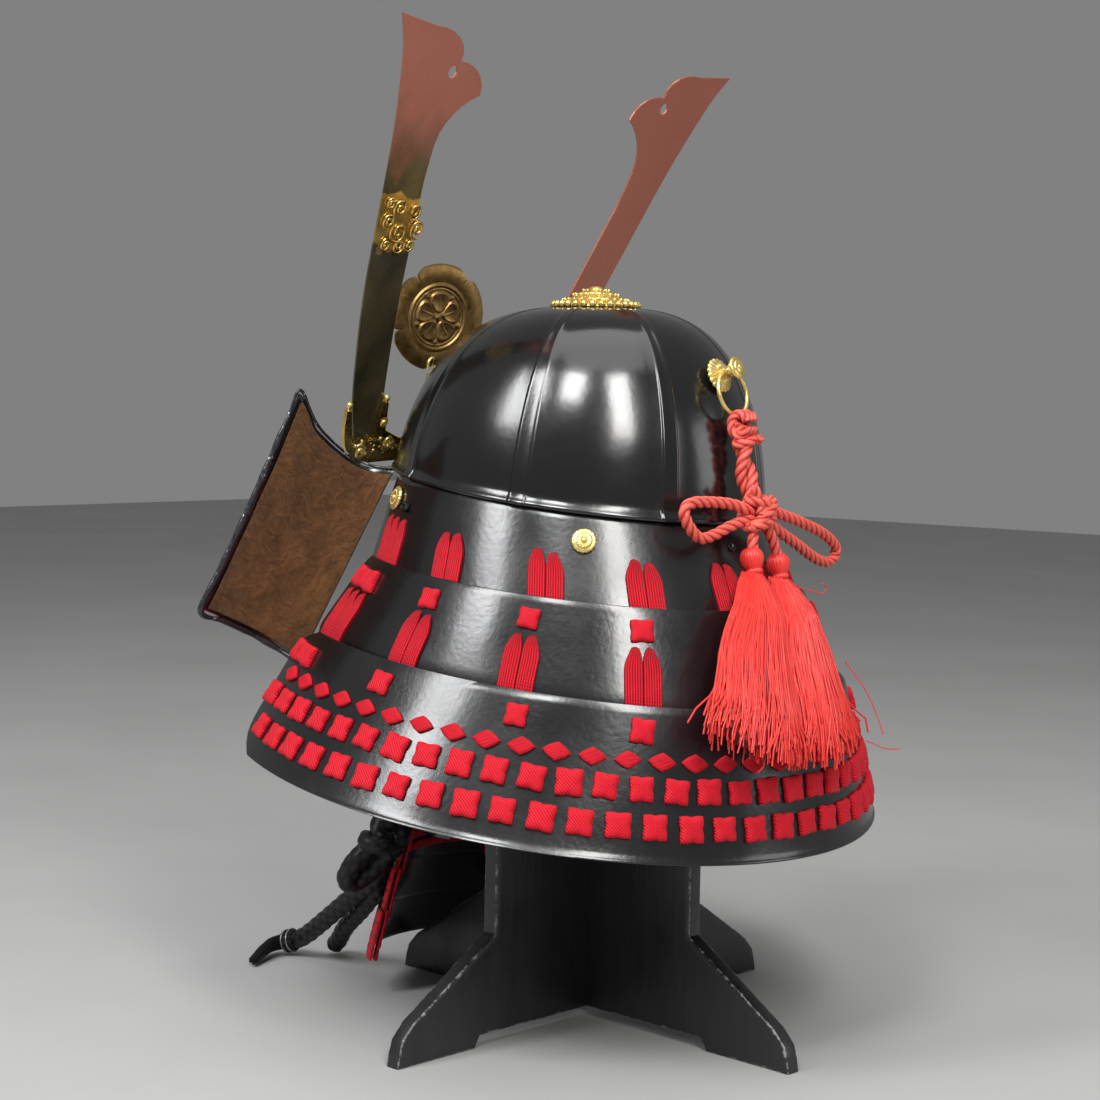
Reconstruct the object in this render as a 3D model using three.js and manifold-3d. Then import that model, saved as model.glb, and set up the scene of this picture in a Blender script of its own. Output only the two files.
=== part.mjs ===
// A kabuto, the helmet of a samurai, on its plain crossed-board stand.
// Millimetres, +Z up. The wearer looks along -Y and the wearer's left is +X.
// The origin is on the surface under the stand, below the middle of the whole outline.
import * as THREE from "three";
import { mergeVertices } from "three/addons/utils/BufferGeometryUtils.js";
import Module from "manifold-3d";

const wasm = await Module();
wasm.setup();

// ---------------------------------------------------------------- driving dimensions

const GAP = 0.3; // between pieces that touch
const SHELL = 2.0; // wall of the bowl
const PLATE = 1.8; // wall of each neck plate
const FRONT_SHIFT = 2.7; // the stand's axis lies this far behind the middle of the outline

// Rings are level ellipses tipped up towards the face: half length a, half width b,
// centre y, height z at the centre, and tilt in degrees.
const BOWL = { a: 121, b: 111, y: -15, z: 337, tilt: 7.3, top: 451, topY: -4 };
const BOWL_ROUND = 3.3; // how square the bowl's upright section is
const BOWL_RISE = 1.7;
const BOWL_LIP = 1.6; // the small outward roll at the bowl's edge
const RIB_COUNT = 8;
const RIB_WIDTH = 5; // degrees
const RIB_PROUD = 0.9;

const VISOR = { from: 133, reach: 44 }; // degrees from the back, and how far it stands out

const PLATE_ENDS = [128, 123, 121]; // degrees from the middle of the back to each front end
const PLATES = [
  [
    { a: 121, b: 111, y: -15, z: 336.1, tilt: 7.3 },
    { a: 146, b: 133, y: -10.5, z: 268, tilt: 6.0 },
  ],
  [
    { a: 145, b: 133, y: -10, z: 287, tilt: 6.0 },
    { a: 174, b: 153, y: -20, z: 239.5, tilt: 7.0 },
    { a: 177, b: 155.5, y: -21, z: 228, tilt: 7.0 },
  ],
  [
    { a: 183, b: 161, y: -21, z: 239.5, tilt: 7.0 },
    { a: 208, b: 202, y: -33, z: 161.6, tilt: 8.3 },
  ],
];

const PLATE_BEND = 0.805; // how far down the second plate turns steeper

// Angles of the lace pairs on either side of the middle of the back, on each upper plate,
// and of the group at each front end.
const LACE_COLUMNS = [
  [10.5, 35.5, 61, 89],
  [12.75, 38.25, 63.75, 89.25],
];
const LACE_END = 114.75;
const LACE_THICK = 1.8;
const LACE_PAIR_WIDTH = 21;
const LACE_END_WIDTH = 25;
const LACE_TUCK = 7; // how far a lace runs down behind the next plate

const TURNBACK_REACH = [66, -15, 35]; // from the root of a turnback to its outer edge
const TURNBACK_HOLLOW = 13;
const TURNBACK_DIP = 10;
const TURNBACK_TIP = 12;
const RIM_RADIUS = 2.2;
const LINING = 1.2;

const HORN_LEAN = 0.4958; // run back per unit of height
const HORN_Y = -324.5; // where the horns' plane would meet height zero
const HORN_THICK = 1.4;

const STAND_TURN = 2.8; // degrees, the boards don't stand quite square to the helmet
const BOARD = 11; // thickness of a stand board
const FOOT_REACH = 167;
const FOOT_RISE = 67.8;
const POST_HALF = 88.7;
const STAND_TOP = 440;
const PAD_INNER = 104;
const PAD_RELIEF = 7.2;

const CORD = 7; // diameter of the red cord
const CHIN_CORD = 14; // diameter of the black cord

const rad = THREE.MathUtils.degToRad;
const mix = THREE.MathUtils.lerp;

// ---------------------------------------------------------------- finishes

const FINISH = {
  lacquer: { color: 0x0b0b0d, roughness: 0.16, metalness: 0.0 },
  gold: { color: 0xe0bd62, roughness: 0.22, metalness: 1.0 },
  oldGold: { color: 0x8a6a33, roughness: 0.38, metalness: 0.9 },
  hornMetal: { color: 0xa85a42, roughness: 0.35, metalness: 0.4 },
  redLace: { color: 0xd3101f, roughness: 0.75, metalness: 0.0 },
  redCord: { color: 0xe0382c, roughness: 0.5, metalness: 0.0 },
  suede: { color: 0x7f4a22, roughness: 0.95, metalness: 0.0 },
  blackCord: { color: 0x0d0d0f, roughness: 0.7, metalness: 0.0 },
  paintedWood: { color: 0x17171a, roughness: 0.45, metalness: 0.0 },
};

const helmet = new THREE.Group();

// Gives a closed geometry a name and a finish and hangs it in the helmet's group.
function piece(name, geometry, finish) {
  const mesh = new THREE.Mesh(facingOut(geometry), new THREE.MeshStandardMaterial(FINISH[finish]));
  mesh.name = name;
  helmet.add(mesh);
  return mesh;
}

// ---------------------------------------------------------------- ways of making solids

// The same closed geometry with its faces pointing out.
function facingOut(geometry) {
  const bare = new THREE.BufferGeometry();
  bare.setAttribute("position", geometry.getAttribute("position").clone());
  if (geometry.index) bare.setIndex(geometry.index.clone());
  const joined = mergeVertices(bare, 1e-3);
  const place = joined.getAttribute("position");
  const index = joined.index.array;
  const [p, q, r] = [new THREE.Vector3(), new THREE.Vector3(), new THREE.Vector3()];
  let volume = 0;
  for (let i = 0; i < index.length; i += 3) {
    p.fromBufferAttribute(place, index[i]);
    q.fromBufferAttribute(place, index[i + 1]);
    r.fromBufferAttribute(place, index[i + 2]);
    volume += p.dot(q.cross(r));
  }
  if (volume < 0) {
    for (let i = 0; i < index.length; i += 3) {
      [index[i + 1], index[i + 2]] = [index[i + 2], index[i + 1]];
    }
  }
  joined.computeVertexNormals();
  return joined;
}

// A solid through closed sections that all have the same number of points. Thin wall
// sections are closed by a strip across the wall, others by a fan from their middle.
function lofted(sections, cap = "strip") {
  const count = sections[0].length;
  const points = sections.flat();
  const index = [];
  for (let s = 0; s + 1 < sections.length; s++) {
    for (let i = 0; i < count; i++) {
      const j = (i + 1) % count;
      const [a, b] = [s * count + i, s * count + j];
      index.push(a, b, b + count, a, b + count, a + count);
    }
  }
  for (const [first, turn] of [[0, 1], [(sections.length - 1) * count, -1]]) {
    const close = (a, b, c) => index.push(...(turn > 0 ? [a, c, b] : [a, b, c]));
    if (cap === "strip") {
      for (let i = 0; i < count / 2 - 1; i++) {
        const far = count - 1 - i;
        close(first + i, first + i + 1, first + far);
        close(first + i + 1, first + far - 1, first + far);
      }
    } else {
      const middle = new THREE.Vector3();
      for (let i = 0; i < count; i++) middle.add(points[first + i]);
      points.push(middle.divideScalar(count));
      for (let i = 0; i < count; i++) close(points.length - 1, first + i, first + ((i + 1) % count));
    }
  }
  return new THREE.BufferGeometry().setFromPoints(points).setIndex(index);
}

// A wall of even thickness on one side of a surface. at(u, v) gives the surface, and
// the wall grows towards its normal when thick is positive.
function wallOn(at, us, vs, thick) {
  const step = 1e-3;
  const normal = (u, v) => {
    const du = at(u + step, v).sub(at(u - step, v));
    const dv = at(u, v + step).sub(at(u, v - step));
    return du.cross(dv).normalize();
  };
  const sections = us.map((u) => {
    const face = vs.map((v) => at(u, v));
    const back = vs.map((v) => at(u, v).addScaledVector(normal(u, v), thick)).reverse();
    return [...face, ...back];
  });
  return lofted(sections);
}

// Evenly spaced numbers from one to another, both kept.
function spread(from, to, parts) {
  return Array.from({ length: parts + 1 }, (_, i) => mix(from, to, i / parts));
}

// A round bar along a smooth line through points.
function bar(points, radius, steps, sides = 8, closed = false) {
  const line = new THREE.CatmullRomCurve3(points.map((p) => new THREE.Vector3(...p)), closed);
  const section = new THREE.Shape();
  for (let i = 0; i < sides; i++) {
    const turn = (2 * Math.PI * i) / sides;
    const [x, y] = [radius * Math.cos(turn), radius * Math.sin(turn)];
    if (i === 0) section.moveTo(x, y);
    else section.lineTo(x, y);
  }
  section.closePath();
  return new THREE.ExtrudeGeometry(section, { steps, extrudePath: line, curveSegments: 1 });
}

function solid(geometry) {
  const ready = facingOut(geometry);
  return new wasm.Manifold(
    new wasm.Mesh({
      numProp: 3,
      vertProperties: ready.getAttribute("position").array,
      triVerts: new Uint32Array(ready.index.array),
    }),
  );
}

function geometryOf(made) {
  const mesh = made.getMesh();
  const geometry = new THREE.BufferGeometry();
  geometry.setAttribute("position", new THREE.BufferAttribute(mesh.vertProperties, 3));
  return geometry.setIndex(new THREE.BufferAttribute(mesh.triVerts, 1));
}

function joined(...geometries) {
  return geometryOf(geometries.map(solid).reduce((all, next) => all.add(next)));
}

function mirrored(geometry) {
  return geometry.clone().applyMatrix4(new THREE.Matrix4().makeScale(-1, 1, 1));
}

// ---------------------------------------------------------------- the helmet's surfaces

// A point on a ring, at an angle in degrees from the middle of the back to the wearer's left.
function onRing(ring, angle) {
  const t = rad(angle);
  const y = ring.a * Math.cos(t);
  return new THREE.Vector3(ring.b * Math.sin(t), ring.y + y, ring.z - Math.tan(rad(ring.tilt)) * y);
}

// A point on a neck plate's outer face: down runs from 0 at the top edge to 1 at the bottom.
function onPlate(plate, angle, down) {
  const rings = PLATES[plate];
  const [top, bottom] = [rings[0].z, rings[rings.length - 1].z];
  const z = mix(top, bottom, down);
  let i = 0;
  while (i < rings.length - 2 && z < rings[i + 1].z) i++;
  const share = (rings[i].z - z) / (rings[i].z - rings[i + 1].z);
  return onRing(rings[i], angle).lerp(onRing(rings[i + 1], angle), share);
}

// A point on the bowl at an angle and a share of its rise, moved out by proud.
function onBowl(angle, rise, proud = 0) {
  const t = rad(angle);
  const shrink = Math.max(0, 1 - rise ** BOWL_RISE) ** (1 / BOWL_ROUND);
  const edge = BOWL.z - Math.tan(rad(BOWL.tilt)) * BOWL.a * Math.cos(t);
  return new THREE.Vector3(
    (BOWL.b * shrink + proud) * Math.sin(t),
    mix(BOWL.y, BOWL.topY, rise) + (BOWL.a * shrink + proud) * Math.cos(t),
    mix(edge, BOWL.top, rise) + proud * rise ** 4,
  );
}

// ---------------------------------------------------------------- bowl and its fittings

// Eight lacquered plates riveted into one shell, each lapped over the next by a narrow raised strip.
function bowlShell() {
  const sector = 360 / RIB_COUNT;
  const angles = [];
  for (let i = 0; i < RIB_COUNT; i++) {
    const rib = (i + 0.5) * sector;
    angles.push([rib - 0.2, 0], [rib, RIB_PROUD], [rib + RIB_WIDTH, RIB_PROUD], [rib + RIB_WIDTH + 0.2, 0]);
    for (const share of [0.25, 0.5, 0.75]) angles.push([mix(rib + RIB_WIDTH, rib + sector, share), 0]);
  }
  const rises = [0, 0.05, 0.14, 0.28, 0.44, 0.58, 0.7, 0.8, 0.88, 0.94, 0.98];
  const outer = rises.map((rise) =>
    angles.map(([angle, rib]) => onBowl(angle, rise, (rise === 0 ? BOWL_LIP : 0) + rib * (1 - rise))),
  );
  const inner = rises.map((rise) =>
    angles.map(([angle]) => onBowl(angle, rise, (rise === 0 ? BOWL_LIP : 0) - SHELL).setZ(
      onBowl(angle, rise).z - (rise === 0 ? 0 : SHELL * rise),
    )),
  );
  return lofted([...inner.reverse(), ...outer], "fan");
}

// The gilt crown fitting: stacked discs with a ring of beads round the lowest.
function topOrnament() {
  const seat = BOWL.top + 0.6;
  const tiers = new THREE.LatheGeometry(
    [[0, 0], [23, 0], [23, 2], [20, 3.2], [20, 5], [15, 6.4], [14, 9], [8, 10.6], [0, 11]].map(
      ([x, y]) => new THREE.Vector2(x, y),
    ),
    32,
  );
  tiers.rotateX(Math.PI / 2);
  const beads = 30;
  const outline = new THREE.Shape();
  for (let i = 0; i < beads * 4; i++) {
    const turn = (2 * Math.PI * i) / (beads * 4);
    const reach = 26.6 + 1.7 * Math.cos(beads * turn);
    if (i === 0) outline.moveTo(reach, 0);
    else outline.lineTo(reach * Math.cos(turn), reach * Math.sin(turn));
  }
  outline.closePath();
  const ring = new THREE.ExtrudeGeometry(outline, { depth: 4.4, bevelEnabled: false });
  ring.translate(0, 0, -1.5);
  const made = joined(tiers, ring);
  const roof = solid(bowlShell());
  const seated = solid(made.translate(0, BOWL.topY, seat));
  const cover = roof.translate([0, 0, GAP]);
  return geometryOf(seated.subtract(cover).subtract(roof));
}

// A plain curved peak over the brow, which carries the horn base.
function visor() {
  const at = (angle, out) => {
    const root = onRing({ ...BOWL, a: BOWL.a + BOWL_LIP + 0.6, b: BOWL.b + BOWL_LIP + 0.6, z: BOWL.z - 3 }, angle);
    const reach = VISOR.reach * Math.sin(rad(((angle - VISOR.from) / (360 - 2 * VISOR.from)) * 180)) ** 0.6;
    return new THREE.Vector3(root.x * (1 + 0.1 * out), root.y - reach * out, root.z - 13 * out * out);
  };
  return wallOn(at, spread(VISOR.from + 2, 358 - VISOR.from, 18), [0, 0.35, 0.7, 1], -SHELL);
}

// A gilt boss with a domed head, standing on a surface at a place and along a direction.
function boss(place, along, radius, height) {
  const profile = [[0, 0], [radius, 0], [radius, height * 0.35], [radius * 0.8, height * 0.75], [0, height]];
  const made = new THREE.LatheGeometry(profile.map(([x, y]) => new THREE.Vector2(x, y)), 16);
  made.applyQuaternion(new THREE.Quaternion().setFromUnitVectors(new THREE.Vector3(0, 1, 0), along));
  return made.translate(...place.toArray());
}

const BOSSES = { boss_side: [50.8, 0.22], boss_front: [119.5, 0.2] };
const BOSS = { radius: 7.5, height: 4.4 };

function addBosses() {
  for (const [name, [angle, down]] of Object.entries(BOSSES)) {
    const normal = plateNormal(0, angle, down);
    const place = onPlate(0, angle, down).addScaledVector(normal, GAP + 0.2);
    const made = boss(place, normal, BOSS.radius, BOSS.height);
    piece(`${name}_left`, made, "gold");
    piece(`${name}_right`, mirrored(made), "gold");
  }
  const screwPlace = onPlateProud(0, 4, 0.2, GAP);
  piece("rear_screw", boss(screwPlace, plateNormal(0, 4, 0.2), 2.6, 1.4), "lacquer");
}

function plateNormal(plate, angle, down) {
  const across = onPlate(plate, angle + 0.1, down).sub(onPlate(plate, angle - 0.1, down));
  const along = onPlate(plate, angle, down + 0.01).sub(onPlate(plate, angle, down - 0.01));
  return across.cross(along).normalize();
}

function onPlateProud(plate, angle, down, proud) {
  return onPlate(plate, angle, down).addScaledVector(plateNormal(plate, angle, down), proud);
}

// ---------------------------------------------------------------- neck plates and lacing

function neckPlate(plate) {
  const downs = plate === 1 ? [0, 0.45, PLATE_BEND, 1] : [0, 0.5, 1];
  return wallOn((u, v) => onPlate(plate, u, v), spread(-PLATE_ENDS[plate], PLATE_ENDS[plate], 40), downs, -PLATE);
}

// A flat group of red laces that starts in points below its holes and runs down behind the next plate.
function lace(plate, angle, width, points, top) {
  const lower = onPlate(plate + 1, angle, 0).z - LACE_TUCK;
  const middle = onPlate(plate, angle, 0.6);
  const tangent = onPlate(plate, angle + 1, 0.6).distanceTo(middle);
  const half = width / 2 / tangent;
  const columns = spread(-half, half, points * 2);
  const fall = (onPlate(plate, angle, 0).z - lower) / (onPlate(plate, angle, 0).z - onPlate(plate, angle, 1).z);
  const sections = columns.map((turn, i) => {
    const start = i % 2 === 1 ? top : top + (i === 0 || i === columns.length - 1 ? 0.16 : 0.1);
    const bend = plate === 1 ? PLATE_BEND : mix(start, fall, 0.5);
    const downs = [start, mix(start, bend, 0.5), bend, fall];
    const near = downs.map((down) => onPlateProud(plate, angle + turn, down, GAP));
    const far = downs.map((down) => onPlateProud(plate, angle + turn, down, GAP + LACE_THICK));
    return [...near, ...far.reverse()];
  });
  return lofted(sections);
}

function addLaces() {
  for (const plate of [0, 1]) {
    const top = plate === 0 ? 0.36 : 0.37;
    for (const [side, sign] of [["left", 1], ["right", -1]]) {
      LACE_COLUMNS[plate].forEach((angle, i) => {
        piece(`lace_pair_${plate + 1}_${side}_${i + 1}`, lace(plate, sign * angle, LACE_PAIR_WIDTH, 2, top), "redLace");
      });
    }
    for (const sign of [1, -1]) {
      const side = sign > 0 ? "left" : "right";
      piece(`lace_end_${plate + 1}_${side}`, lace(plate, sign * LACE_END, LACE_END_WIDTH, 3, top), "redLace");
    }
  }
}

// ---------------------------------------------------------------- turnbacks

// The line where a turnback leaves the front ends of the two upper plates, top end first.
const TURNBACK_ROOT = [new THREE.Vector3(86, -95, 346), new THREE.Vector3(133, -128, 227)];

// across runs from the root to the outer edge, and down from the top edge to the bottom.
function onTurnback(across, down) {
  const [top, bottom] = TURNBACK_ROOT;
  const place = top.clone().lerp(bottom, down);
  place.addScaledVector(new THREE.Vector3(...TURNBACK_REACH), across);
  place.add(new THREE.Vector3(-0.75, -0.66, 0).multiplyScalar(TURNBACK_HOLLOW * Math.sin(Math.PI * across)));
  const edge = -TURNBACK_DIP * Math.sin(Math.PI * Math.min(across / 0.94, 1));
  const tip = TURNBACK_TIP * THREE.MathUtils.smoothstep(across, 0.82, 1);
  place.z += (edge + tip) * (1 - down) ** 2;
  return place;
}

function turnback() {
  const us = [0, 0.15, 0.3, 0.45, 0.6, 0.75, 0.85, 0.92, 1];
  return wallOn(onTurnback, us, spread(0, 1, 5), -PLATE);
}

function turnbackLining() {
  const us = [0.01, 0.16, 0.3, 0.45, 0.6, 0.75, 0.85, 0.91, 0.965];
  const back = (u, v) => {
    const step = 1e-3;
    const du = onTurnback(u + step, v).sub(onTurnback(u - step, v));
    const dv = onTurnback(u, v + step).sub(onTurnback(u, v - step));
    return onTurnback(u, v).addScaledVector(du.cross(dv).normalize(), 2 * GAP);
  };
  return wallOn(back, us, [0.025, 0.22, 0.41, 0.6, 0.79, 0.98], LINING);
}

// The rolled rim runs along the top, outer and bottom edges.
function turnbackRim() {
  const route = [];
  const push = (u, v, du, dv, further = 1) => {
    const edge = onTurnback(u, v);
    const out = edge.clone().sub(onTurnback(u - du * 0.02, v - dv * 0.02)).normalize();
    route.push(edge.addScaledVector(out, (RIM_RADIUS + 3.5 * GAP) * further).toArray());
  };
  for (const u of [0.04, 0.25, 0.5, 0.72, 0.86]) push(u, 0, 0, -1);
  push(1, 0, 0.6, -1, 1.5);
  for (const v of [0.1, 0.3, 0.55, 0.8]) push(1, v, 1, 0);
  push(1, 1, 1, 1);
  for (const u of [0.8, 0.5, 0.25, 0.04]) push(u, 1, 0, 1);
  return bar(route, RIM_RADIUS, 40, 8);
}

function addTurnbacks() {
  const made = { turnback: ["lacquer", turnback()], turnback_lining: ["suede", turnbackLining()] };
  made.turnback_rim = ["lacquer", turnbackRim()];
  for (const [name, [finish, geometry]] of Object.entries(made)) {
    piece(`${name}_left`, geometry, finish);
    piece(`${name}_right`, mirrored(geometry), finish);
  }
}

// ---------------------------------------------------------------- horns and crest

// Turns an outline drawn as (x, height) into a sheet in the horns' leaning plane. Heights
// are true heights, so the outline is stretched along the slope.
function inHornPlane(shape, thick, forward = 0) {
  const sheet = new THREE.ExtrudeGeometry(shape, { depth: thick, bevelEnabled: false, curveSegments: 6 });
  const place = sheet.getAttribute("position");
  const slope = Math.hypot(1, HORN_LEAN);
  for (let i = 0; i < place.count; i++) {
    const [x, height, depth] = [place.getX(i), place.getY(i), place.getZ(i) + forward];
    place.setXYZ(i, x, HORN_LEAN * height + HORN_Y - depth / slope, height + (depth * HORN_LEAN) / slope);
  }
  return sheet;
}

const HORN_OUTER = [[66, 351], [84, 383], [97, 416], [109, 453], [118, 490], [126, 526], [133, 554], [141, 579]];
const HORN_INNER = [[94, 526], [91, 511], [84, 478], [77, 447], [67.5, 413], [60, 388], [50, 354]];

function horn() {
  const shape = new THREE.Shape();
  const points = (list) => list.map(([x, z]) => new THREE.Vector2(x, z));
  shape.moveTo(...HORN_OUTER[0]);
  shape.splineThru(points(HORN_OUTER.slice(1)));
  shape.splineThru(points([[148, 597], [157.5, 613]]));
  shape.lineTo(127, 609.8);
  shape.bezierCurveTo(112, 611.5, 96, 604, 98.2, 593.5);
  shape.bezierCurveTo(88, 594.5, 74, 589, 72.5, 577);
  shape.bezierCurveTo(85, 571, 96, 560, 96, 546);
  shape.splineThru(points(HORN_INNER));
  shape.closePath();
  const hole = new THREE.Path();
  hole.absarc(102, 587, 3.6, 0, 2 * Math.PI, true);
  shape.holes.push(hole);
  return inHornPlane(shape, HORN_THICK);
}

// The gilt base: a winged plate with a sleeve for each horn and a stem for the crest.
function hornBase() {
  const wing = new THREE.Shape();
  wing.moveTo(0, 372);
  wing.bezierCurveTo(14, 371, 22, 364, 34, 366);
  wing.lineTo(52, 372);
  wing.lineTo(58, 390);
  wing.lineTo(62, 390);
  wing.lineTo(60, 366);
  wing.lineTo(76, 360);
  wing.lineTo(88, 384);
  wing.lineTo(92, 384);
  wing.bezierCurveTo(88, 366, 82, 354, 66, 350);
  wing.bezierCurveTo(40, 352, 20, 353, 0, 353);
  wing.closePath();
  const back = inHornPlane(wing, 3, -HORN_THICK - GAP - 3 + HORN_THICK);
  const sleeve = new THREE.Shape();
  sleeve.moveTo(34, 366);
  sleeve.lineTo(76, 366);
  sleeve.lineTo(66, 350);
  sleeve.lineTo(28, 353);
  sleeve.closePath();
  const front = inHornPlane(sleeve, 2.4, HORN_THICK + GAP);
  const gusset = new THREE.Shape();
  gusset.moveTo(0, 368);
  gusset.lineTo(30, 364);
  gusset.lineTo(35, 354);
  gusset.lineTo(0, 353);
  gusset.closePath();
  const middle = inHornPlane(gusset, HORN_THICK + GAP + 5.4, -GAP - 3);
  const half = joined(back, middle);
  const bridged = joined(half, front, mirrored(half), mirrored(front));
  const stem = bar([[0, -152, 356], [0, -153, 372], [0, -151, 392], [0, -148.4, 408.4]], 2.2, 6, 8);
  const seat = new THREE.BoxGeometry(16, 16, 8).translate(0, -148, 352.3);
  const peak = solid(visor());
  const made = solid(joined(bridged, seat, stem)).subtract(bowlWithGap());
  return geometryOf(made.subtract(peak).subtract(peak.translate([0, 0, GAP])));
}

// A five-lobed disc with a raised ring and a plain five-petalled rosette.
function crestDisc() {
  const lobes = 5;
  const outline = new THREE.Shape();
  for (let i = 0; i < 60; i++) {
    const turn = (2 * Math.PI * i) / 60 + Math.PI / 2;
    const wave = Math.abs(Math.sin((lobes * (turn - Math.PI / 2)) / 2 + Math.PI / 2));
    const reach = 31.5 + 4.5 * wave ** 0.5;
    if (i === 0) outline.moveTo(reach * Math.cos(turn), reach * Math.sin(turn));
    else outline.lineTo(reach * Math.cos(turn), reach * Math.sin(turn));
  }
  outline.closePath();
  const plate = new THREE.ExtrudeGeometry(outline, { depth: 1.2, bevelEnabled: false });
  const rim = new THREE.LatheGeometry(
    [[20, -1.2], [23.5, -1.2], [23.5, 2.4], [20, 2.4], [20, -1.2]].map(([x, y]) => new THREE.Vector2(x, y)),
    36,
  ).rotateX(Math.PI / 2);
  let made = joined(plate, rim);
  for (let i = 0; i < lobes; i++) {
    const turn = (2 * Math.PI * i) / lobes + Math.PI / 2;
    const petal = new THREE.SphereGeometry(6.2, 10, 6).scale(1, 1, 0.36);
    made = joined(made, petal.translate(11 * Math.cos(turn), 11 * Math.sin(turn), 0.6));
  }
  made = joined(made, new THREE.SphereGeometry(4, 10, 6).scale(1, 1, 0.7).translate(0, 0, 0.6));
  made.rotateX(Math.PI / 2 + rad(-10));
  made.rotateZ(rad(-13));
  return made.translate(0, -142, 446);
}

// ---------------------------------------------------------------- back fitting, red cord and tassels

const STUD = new THREE.Vector3(0, 92.6, 409);
const STUD_AXIS = new THREE.Vector3(0, Math.cos(rad(20)), Math.sin(rad(20)));

function fluted(radius, thick, flutes) {
  const outline = new THREE.Shape();
  for (let i = 0; i < flutes * 4; i++) {
    const turn = (2 * Math.PI * i) / (flutes * 4);
    const reach = radius + 0.6 * Math.cos(flutes * turn);
    if (i === 0) outline.moveTo(reach, 0);
    else outline.lineTo(reach * Math.cos(turn), reach * Math.sin(turn));
  }
  outline.closePath();
  return new THREE.ExtrudeGeometry(outline, { depth: thick, bevelEnabled: false });
}

// The bowl's wall, grown a little, for cutting what sits on it.
function bowlWithGap() {
  const shell = solid(bowlShell());
  return shell.add(shell.translate([0, GAP, 0])).add(shell.translate([0, 0, GAP]));
}

const RING = { radius: 13.6, wire: 1.3, lean: 15, along: 8.6 }; // along is measured on the stud
const STUD_HOLE = 2.0;

// A stud with a fluted washer and a round head. The ring passes through a hole across it.
function rearStud() {
  const washer = fluted(9.6, 2.4, 14);
  const profile = [[0, -2], [3.6, -2], [3.6, 11], [4.9, 12.5], [5.2, 15], [3.6, 17.6], [0, 18.4]];
  const turning = new THREE.LatheGeometry(profile.map(([x, y]) => new THREE.Vector2(x, y)), 16);
  const hole = new THREE.CylinderGeometry(STUD_HOLE, STUD_HOLE, 20, 12).rotateZ(Math.PI / 2);
  const stem = solid(turning.rotateX(Math.PI / 2)).subtract(solid(hole.translate(0, 0, RING.along)));
  const made = geometryOf(solid(washer).add(stem));
  made.applyQuaternion(new THREE.Quaternion().setFromUnitVectors(new THREE.Vector3(0, 0, 1), STUD_AXIS));
  return geometryOf(solid(made.translate(...STUD.toArray())).subtract(bowlWithGap()));
}

function ringCentre() {
  const drop = new THREE.Vector3(0, Math.sin(rad(RING.lean)), -Math.cos(rad(RING.lean)));
  return STUD.clone().addScaledVector(STUD_AXIS, RING.along).addScaledVector(drop, RING.radius - 0.2);
}

function rearRing(wire = RING.wire) {
  const ring = new THREE.TorusGeometry(RING.radius, wire, 8, 28);
  ring.rotateX(rad(90 + RING.lean));
  return ring.translate(...ringCentre().toArray());
}

// The red cord goes down from the ring as a doubled twist to a bow with two loops.
const RUN = [[0, 112.5, 384], [1, 113, 372], [2, 116, 356], [2, 121, 338]];
const LEFT_LOOP = [
  [8, 124, 331], [22, 121, 334], [40, 118, 335.5], [54, 116, 335], [59, 115, 330],
  [54, 115.5, 321], [45, 116.5, 314.5], [34, 118, 316], [22, 121, 321], [8, 124, 325],
];
const RIGHT_LOOP = [
  [-6, 125, 330], [-22, 126, 327], [-45, 126, 321], [-68, 125, 314], [-84, 123.5, 306],
  [-86, 123, 299.5], [-77, 123.5, 295.5], [-62, 124.5, 298.5], [-40, 126, 308], [-20, 126, 317], [-6, 125, 324],
];
const HEAD = { radius: 6.8, left: [10, 128.5, 302], right: [-17, 128.5, 297.5] };

function redCord() {
  const knotOnRing = new THREE.SphereGeometry(1, 12, 8).scale(8.4, 7.6, 9);
  const tie = solid(knotOnRing.translate(0.5, 112.8, 379)).subtract(solid(rearRing(RING.wire + GAP)));
  const bow = new THREE.SphereGeometry(1, 12, 8).scale(13, 9, 11).translate(2, 123, 328);
  const parts = [
    bar(RUN.slice(1), CORD * 0.95, 8),
    bow,
    bar(LEFT_LOOP, CORD / 2, 22),
    bar(RIGHT_LOOP, CORD / 2, 26),
    bar([[5, 125, 324], [8, 127, 316], HEAD.left], CORD / 2, 3),
    bar([[-6, 125, 324], [-13, 127, 314], HEAD.right], CORD / 2, 3),
  ];
  let made = parts.reduce((all, next) => all.add(solid(next)), tie);
  for (const head of [HEAD.left, HEAD.right]) {
    const space = new THREE.SphereGeometry(HEAD.radius + GAP, 16, 12).translate(...head);
    made = made.subtract(solid(space));
  }
  return geometryOf(made.subtract(bowlWithGap()));
}

function tasselHead(at) {
  return new THREE.SphereGeometry(HEAD.radius, 16, 12).translate(...at);
}

// Level slices of the two skirts: height, depth, half thickness, middle of the left one and of
// the right one, the line between them, and the half width on the outer side.
const SKIRT = [
  { z: 294.2, y: 129, thick: 4.5, left: 10.5, right: -16.8, between: -3, wide: 5.5 },
  { z: 286, y: 136.5, thick: 6.5, left: 14, right: -15.5, between: -0.5, wide: 11 },
  { z: 271, y: 150.5, thick: 8, left: 23, right: -11.5, between: 6, wide: 17 },
  { z: 246, y: 163, thick: 9, left: 36, right: -5, between: 15, wide: 25 },
  { z: 216, y: 176, thick: 9.5, left: 46, right: 0, between: 23, wide: 31 },
  { z: 189, y: 180, thick: 10.5, left: 52, right: 2, between: 27, wide: 36 },
];

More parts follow.
